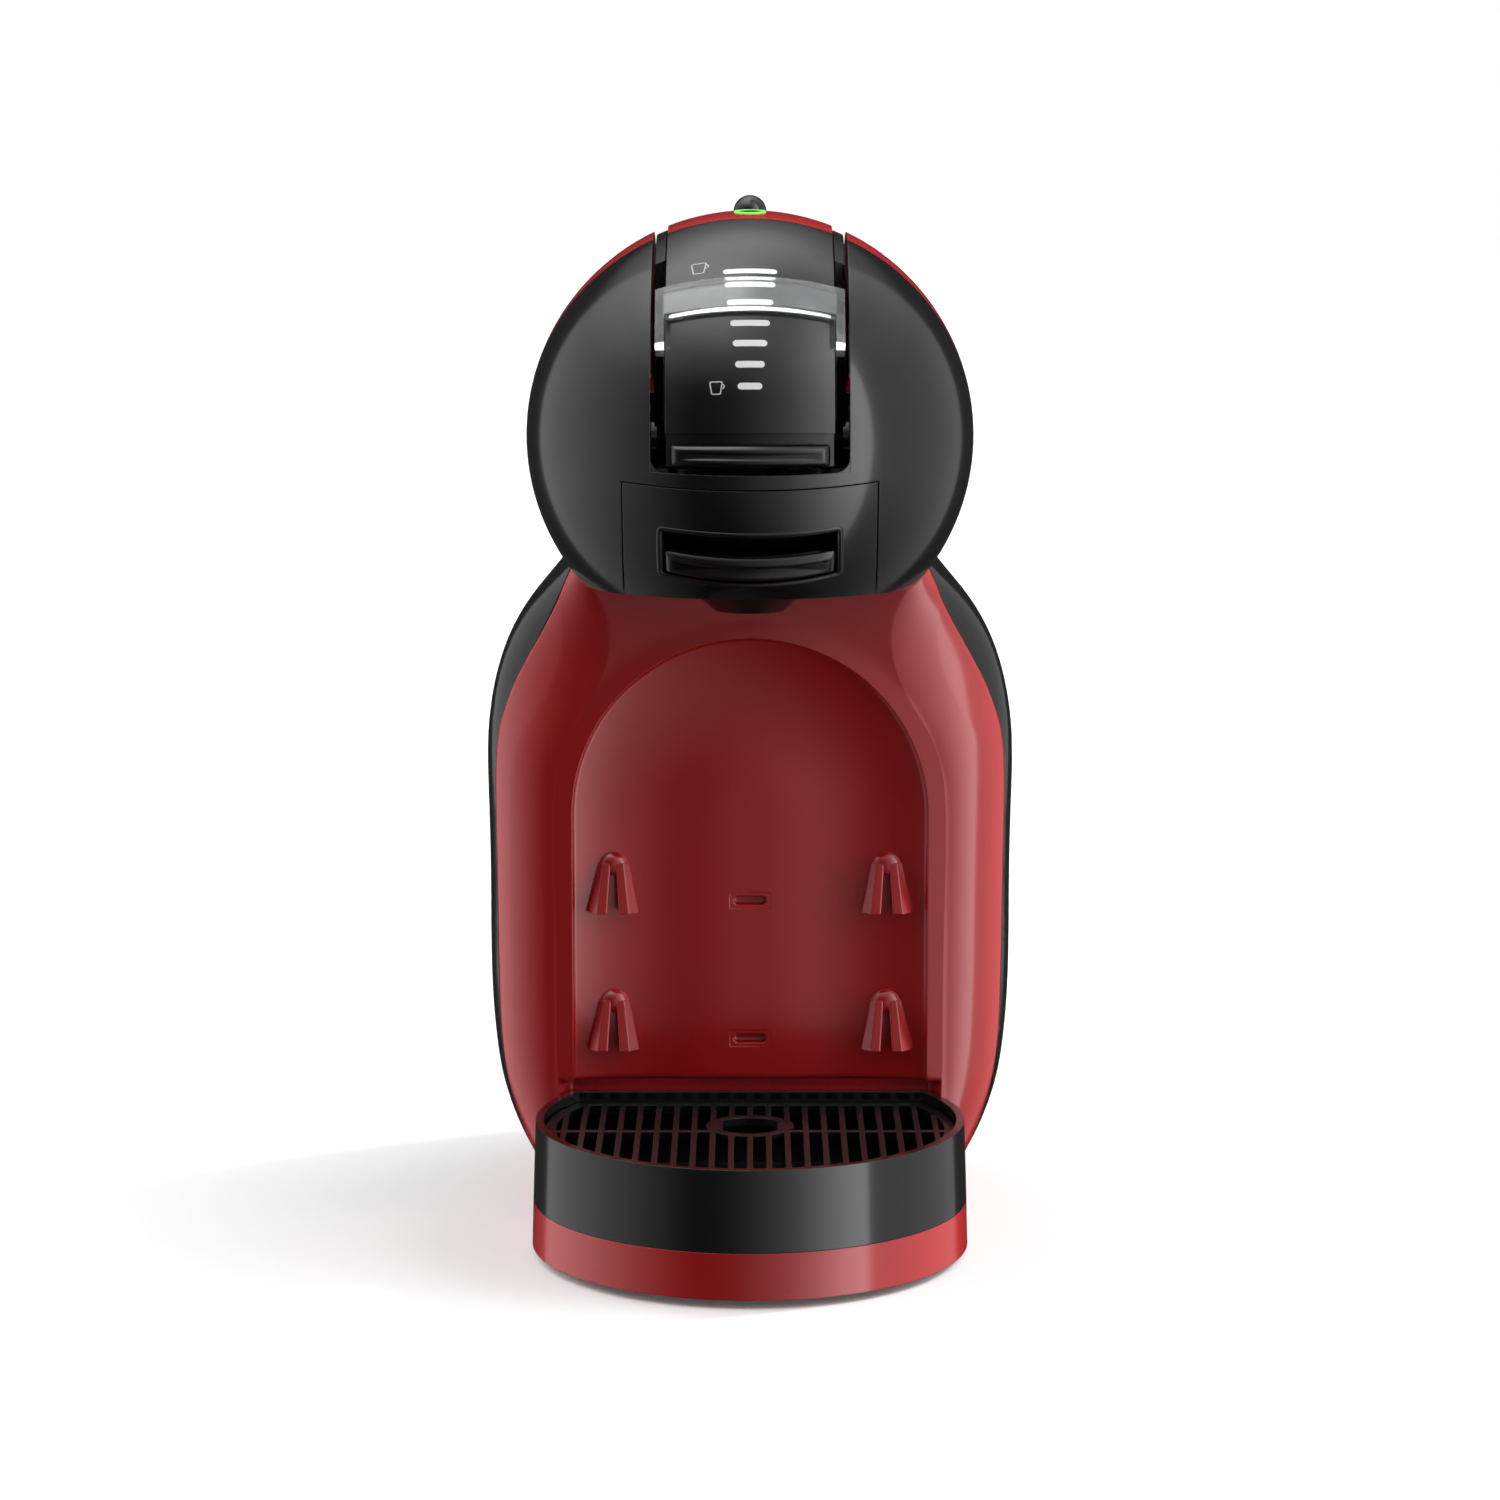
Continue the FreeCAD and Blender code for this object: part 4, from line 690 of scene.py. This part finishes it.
def hook_leg(x, z, side):
    """One leg: a tapered bar whose outline narrows and sinks towards the top, with a chamfered outer edge."""
    share = np.linspace(0.0, 1.0, 10)[:, None]
    outer = 7.6 - 3.0 * share
    inner = 1.7 - 1.0 * share
    front = flange_y + 4.1 - (5.9 - 3.7 * share)
    back = np.full_like(share, hook_back)
    chamfer = 2.8 - 1.3 * share
    across = [outer, outer, outer - chamfer, inner + 0.3, inner, inner]
    depth = [back, front + chamfer, front, front, front + 0.4, back]
    points = np.stack([x + side * np.hstack(across), np.hstack(depth),
                       np.repeat(z + hook_tall * share, 6, axis=1)], axis=-1)
    return grid_faces(points * MM, ring=True, caps=(True, True), flip=side > 0)


def hook_hood(x, z):
    """The rounded hood: half of a flattened ball above the legs, its lower rim turned under."""
    polar = np.radians(np.linspace(-35.0, 90.0, 14))[:-1, None]
    ring_angle = turn_angles[None, :]
    points = np.stack([x + 4.6 * np.cos(polar) * np.cos(ring_angle),
                       flange_y + 4.4 + 2.7 * np.cos(polar) * np.sin(ring_angle),
                       z + hook_tall - 1.2 + 4.4 * np.sin(polar) + 0.0 * ring_angle], axis=-1)
    return grid_faces(points * MM, ring=True, caps=(True, True))


places = [(side * hook_x, z) for side in (-1, 1) for z in hook_z]
legs = new_piece("tray_hook_legs", [hook_leg(x, z, side) for x, z in places for side in (-1, 1)], "red_gloss",
                 "housing", smooth=False)
soft = legs.modifiers.new("soft_edges", "BEVEL")
soft.width = 0.0005
soft.segments = 3
soft.limit_method = "ANGLE"
new_piece("tray_hook_hoods", [hook_hood(x, z) for x, z in places], "red_gloss", "housing")

# %% [markdown]
# ## Cup marks
# Two printed cup outlines on the control panel tell small drinks from large ones. Each is a thin raised
# ribbon that lies on the ball: a closed cup with a tapered side, and an open ring for its handle. The grey
# print glows faintly, which is a painted glow, since print is no lamp.

# %% Cup outlines on the ball
def on_ball(across, radius, angle):
    """Points round the head's centre at a radius. The ring at a place across has the root of radius squared
    less across squared; its cosine share goes towards the user and its sine share goes up."""
    ring = np.sqrt(radius ** 2 - across ** 2)
    return np.stack([across, head_y - ring * np.cos(angle), head_z + ring * np.sin(angle)], axis=-1)


def ribbon(x, angle, path, loop):
    """A strip 0.34 mm wide along path[point, (across, up)], laid on the ball at x and angle."""
    ahead = np.roll(path, -1, axis=0) - np.roll(path, 1, axis=0)
    if not loop:
        ahead[0], ahead[-1] = path[1] - path[0], path[-1] - path[-2]
    ahead = ahead / np.linalg.norm(ahead, axis=1, keepdims=True)
    aside = np.stack([-ahead[:, 1], ahead[:, 0]], axis=-1)
    offsets = np.array([-0.17, 0.17, 0.17, -0.17])
    radii = head_radius + np.array([-0.06, -0.06, 0.07, 0.07])
    flat_place = path[:, None, :] + aside[:, None, :] * offsets[None, :, None]
    points = on_ball(x + flat_place[..., 0], radii, math.radians(angle) + flat_place[..., 1] / head_radius)
    return grid_faces(points * MM, ring=True, loop=loop, caps=(not loop, not loop))


def squarer(value):
    """The fifth root with the value's sign: it pushes a circle out towards a square."""
    return np.sign(value) * np.abs(value) ** 0.2


def cup_mark(x, angle, width, height):
    """A cup outline, wide at the top and narrow at the foot, and its handle on the right."""
    around = np.radians(np.arange(0.0, 360.0, 4.0))
    up = squarer(np.sin(around)) * height / 2
    side = squarer(np.cos(around)) * width / 2 * (0.84 + 0.32 * up / height)
    body = np.stack([side, up], axis=-1)
    bend = np.radians(np.linspace(-85.0, 85.0, 16))
    handle = np.stack([width * (0.47 + 0.17 * np.cos(bend)), height * (0.12 + 0.17 * np.sin(bend))], axis=-1)
    return [ribbon(x, angle, body, True), ribbon(x, angle, handle, False)]


new_piece("cup_marks", cup_mark(-14.4, 51.0, 4.2, 4.3) + cup_mark(-9.4, 15.6, 3.5, 3.5), "print_grey_painted_glow", "arm")

# %% [markdown]
# ## Grips and skirts
# The lift grip under the panel and the drawer's grip are bars with a broad bevel round a raised middle.
# Both follow the ball. Beside the arm a black skirt closes the gap to the channel, and swings with the arm.

# %% Grips
def framed_bar(middle_angle, half_wide, half_high, corner, steps):
    """Rings of a rounded rectangle on the ball. Steps are (inset, radius): how far each ring lies inside the
    outline, and its distance from the ball's centre."""
    rings = []
    for inset, radius in steps:
        wide_now, high_now = half_wide - inset, half_high - inset
        round_now = max(corner - inset, 0.25)
        x = np.clip(2.5 * np.cos(turn_angles), -1, 1)
        v = np.clip(2.5 * np.sin(turn_angles), -1, 1)
        across = (wide_now - round_now) * x + round_now * np.cos(turn_angles)
        up = (high_now - round_now) * v + round_now * np.sin(turn_angles)
        rings.append(on_ball(across, radius, math.radians(middle_angle) + up / head_radius))
    return grid_faces(np.stack(rings) * MM, ring=True, caps=(True, True))


frame_steps = [(0.6, 63.2), (0.0, 63.2), (0.0, 64.5), (0.12, 64.8), (1.3, 65.75), (1.5, 65.85), (1.8, 65.9),
               (2.6, 65.9)]
grip = new_piece("lift_grip", [framed_bar(-1.3, 22.3, 3.4, 1.2, frame_steps)], "black_gloss", "arm")
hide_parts("handle_grip")
pull = new_piece("drawer_pull", [framed_bar(-31.8, 24.3, 4.1, 1.4, frame_steps)], "black_gloss", "drawer")
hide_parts("drawer_grip")


def rim_grid(middle_angle, half_wide, half_high, corner, steps):
    """A thin raised rim round an opening: the bar's rings, closed on themselves."""
    bar_points, _ = framed_bar(middle_angle, half_wide, half_high, corner, steps)
    rings = bar_points[:len(steps) * len(turn_angles)].reshape(len(steps), len(turn_angles), 3)
    return grid_faces(rings, ring=True, loop=True)


rim_steps = [(0.0, 64.7), (0.0, 65.35), (0.2, 65.55), (0.7, 65.6), (1.2, 65.45), (1.45, 65.2), (1.45, 64.7)]
new_piece("recess_rim", [rim_grid(-28.8, 26.3, 9.3, 2.4, rim_steps)], "black_gloss", "drawer")

# %% Skirts beside the arm
skirt_angles = np.radians(np.concatenate([np.linspace(8.0, 57.0, 30), np.linspace(60.0, 112.0, 30)]))


def skirt(side):
    """A curved bar beside the arm. It stands low where the bracket's clips pass and high behind them."""
    top = np.where(skirt_angles < math.radians(58.0), 57.0, 64.2)[:, None]
    low = np.full_like(top, 44.0)
    radii = np.hstack([low, low, top, top])
    across = side * np.array([24.0, 26.9, 26.9, 24.0])[None, :] + 0.0 * radii
    points = on_ball(across, radii, skirt_angles[:, None])
    return grid_faces(points * MM, ring=True, caps=(True, True), flip=side > 0)


new_piece("arm_skirts", [skirt(side) for side in (-1, 1)], "black_satin", "arm", smooth=False)

# %% Round corners of the channel
def channel_corner(side, low_angle=-5.9, edge_x=28.1, radius_mm=4.2):
    """The rounded lower corner of the arm's channel: a quarter circle filled out to the square corner."""
    theta = np.radians(np.linspace(0.0, 90.0, 16))
    centre_x, centre_up = edge_x - 0.3 - radius_mm, radius_mm
    arc_x = centre_x + radius_mm * np.sin(theta)
    arc_up = centre_up - radius_mm * np.cos(theta)
    out_x = np.where(theta < math.pi / 4, centre_x + radius_mm * np.tan(theta), edge_x)
    out_up = np.where(theta < math.pi / 4, -0.3, centre_up - radius_mm / np.tan(np.maximum(theta, 0.1)))
    out_x = np.minimum(out_x, edge_x)
    across = side * np.stack([arc_x, out_x, out_x, arc_x], axis=-1)
    up = np.stack([arc_up, out_up, out_up, arc_up], axis=-1)
    radii = np.array([63.2, 63.2, 65.28, 65.28])
    points = on_ball(across, radii, math.radians(low_angle) + up / head_radius)
    return grid_faces(points * MM, ring=True, caps=(True, True), flip=side > 0)


new_piece("channel_corners", [channel_corner(side) for side in (-1, 1)], "black_gloss", "housing",
          smooth=False)
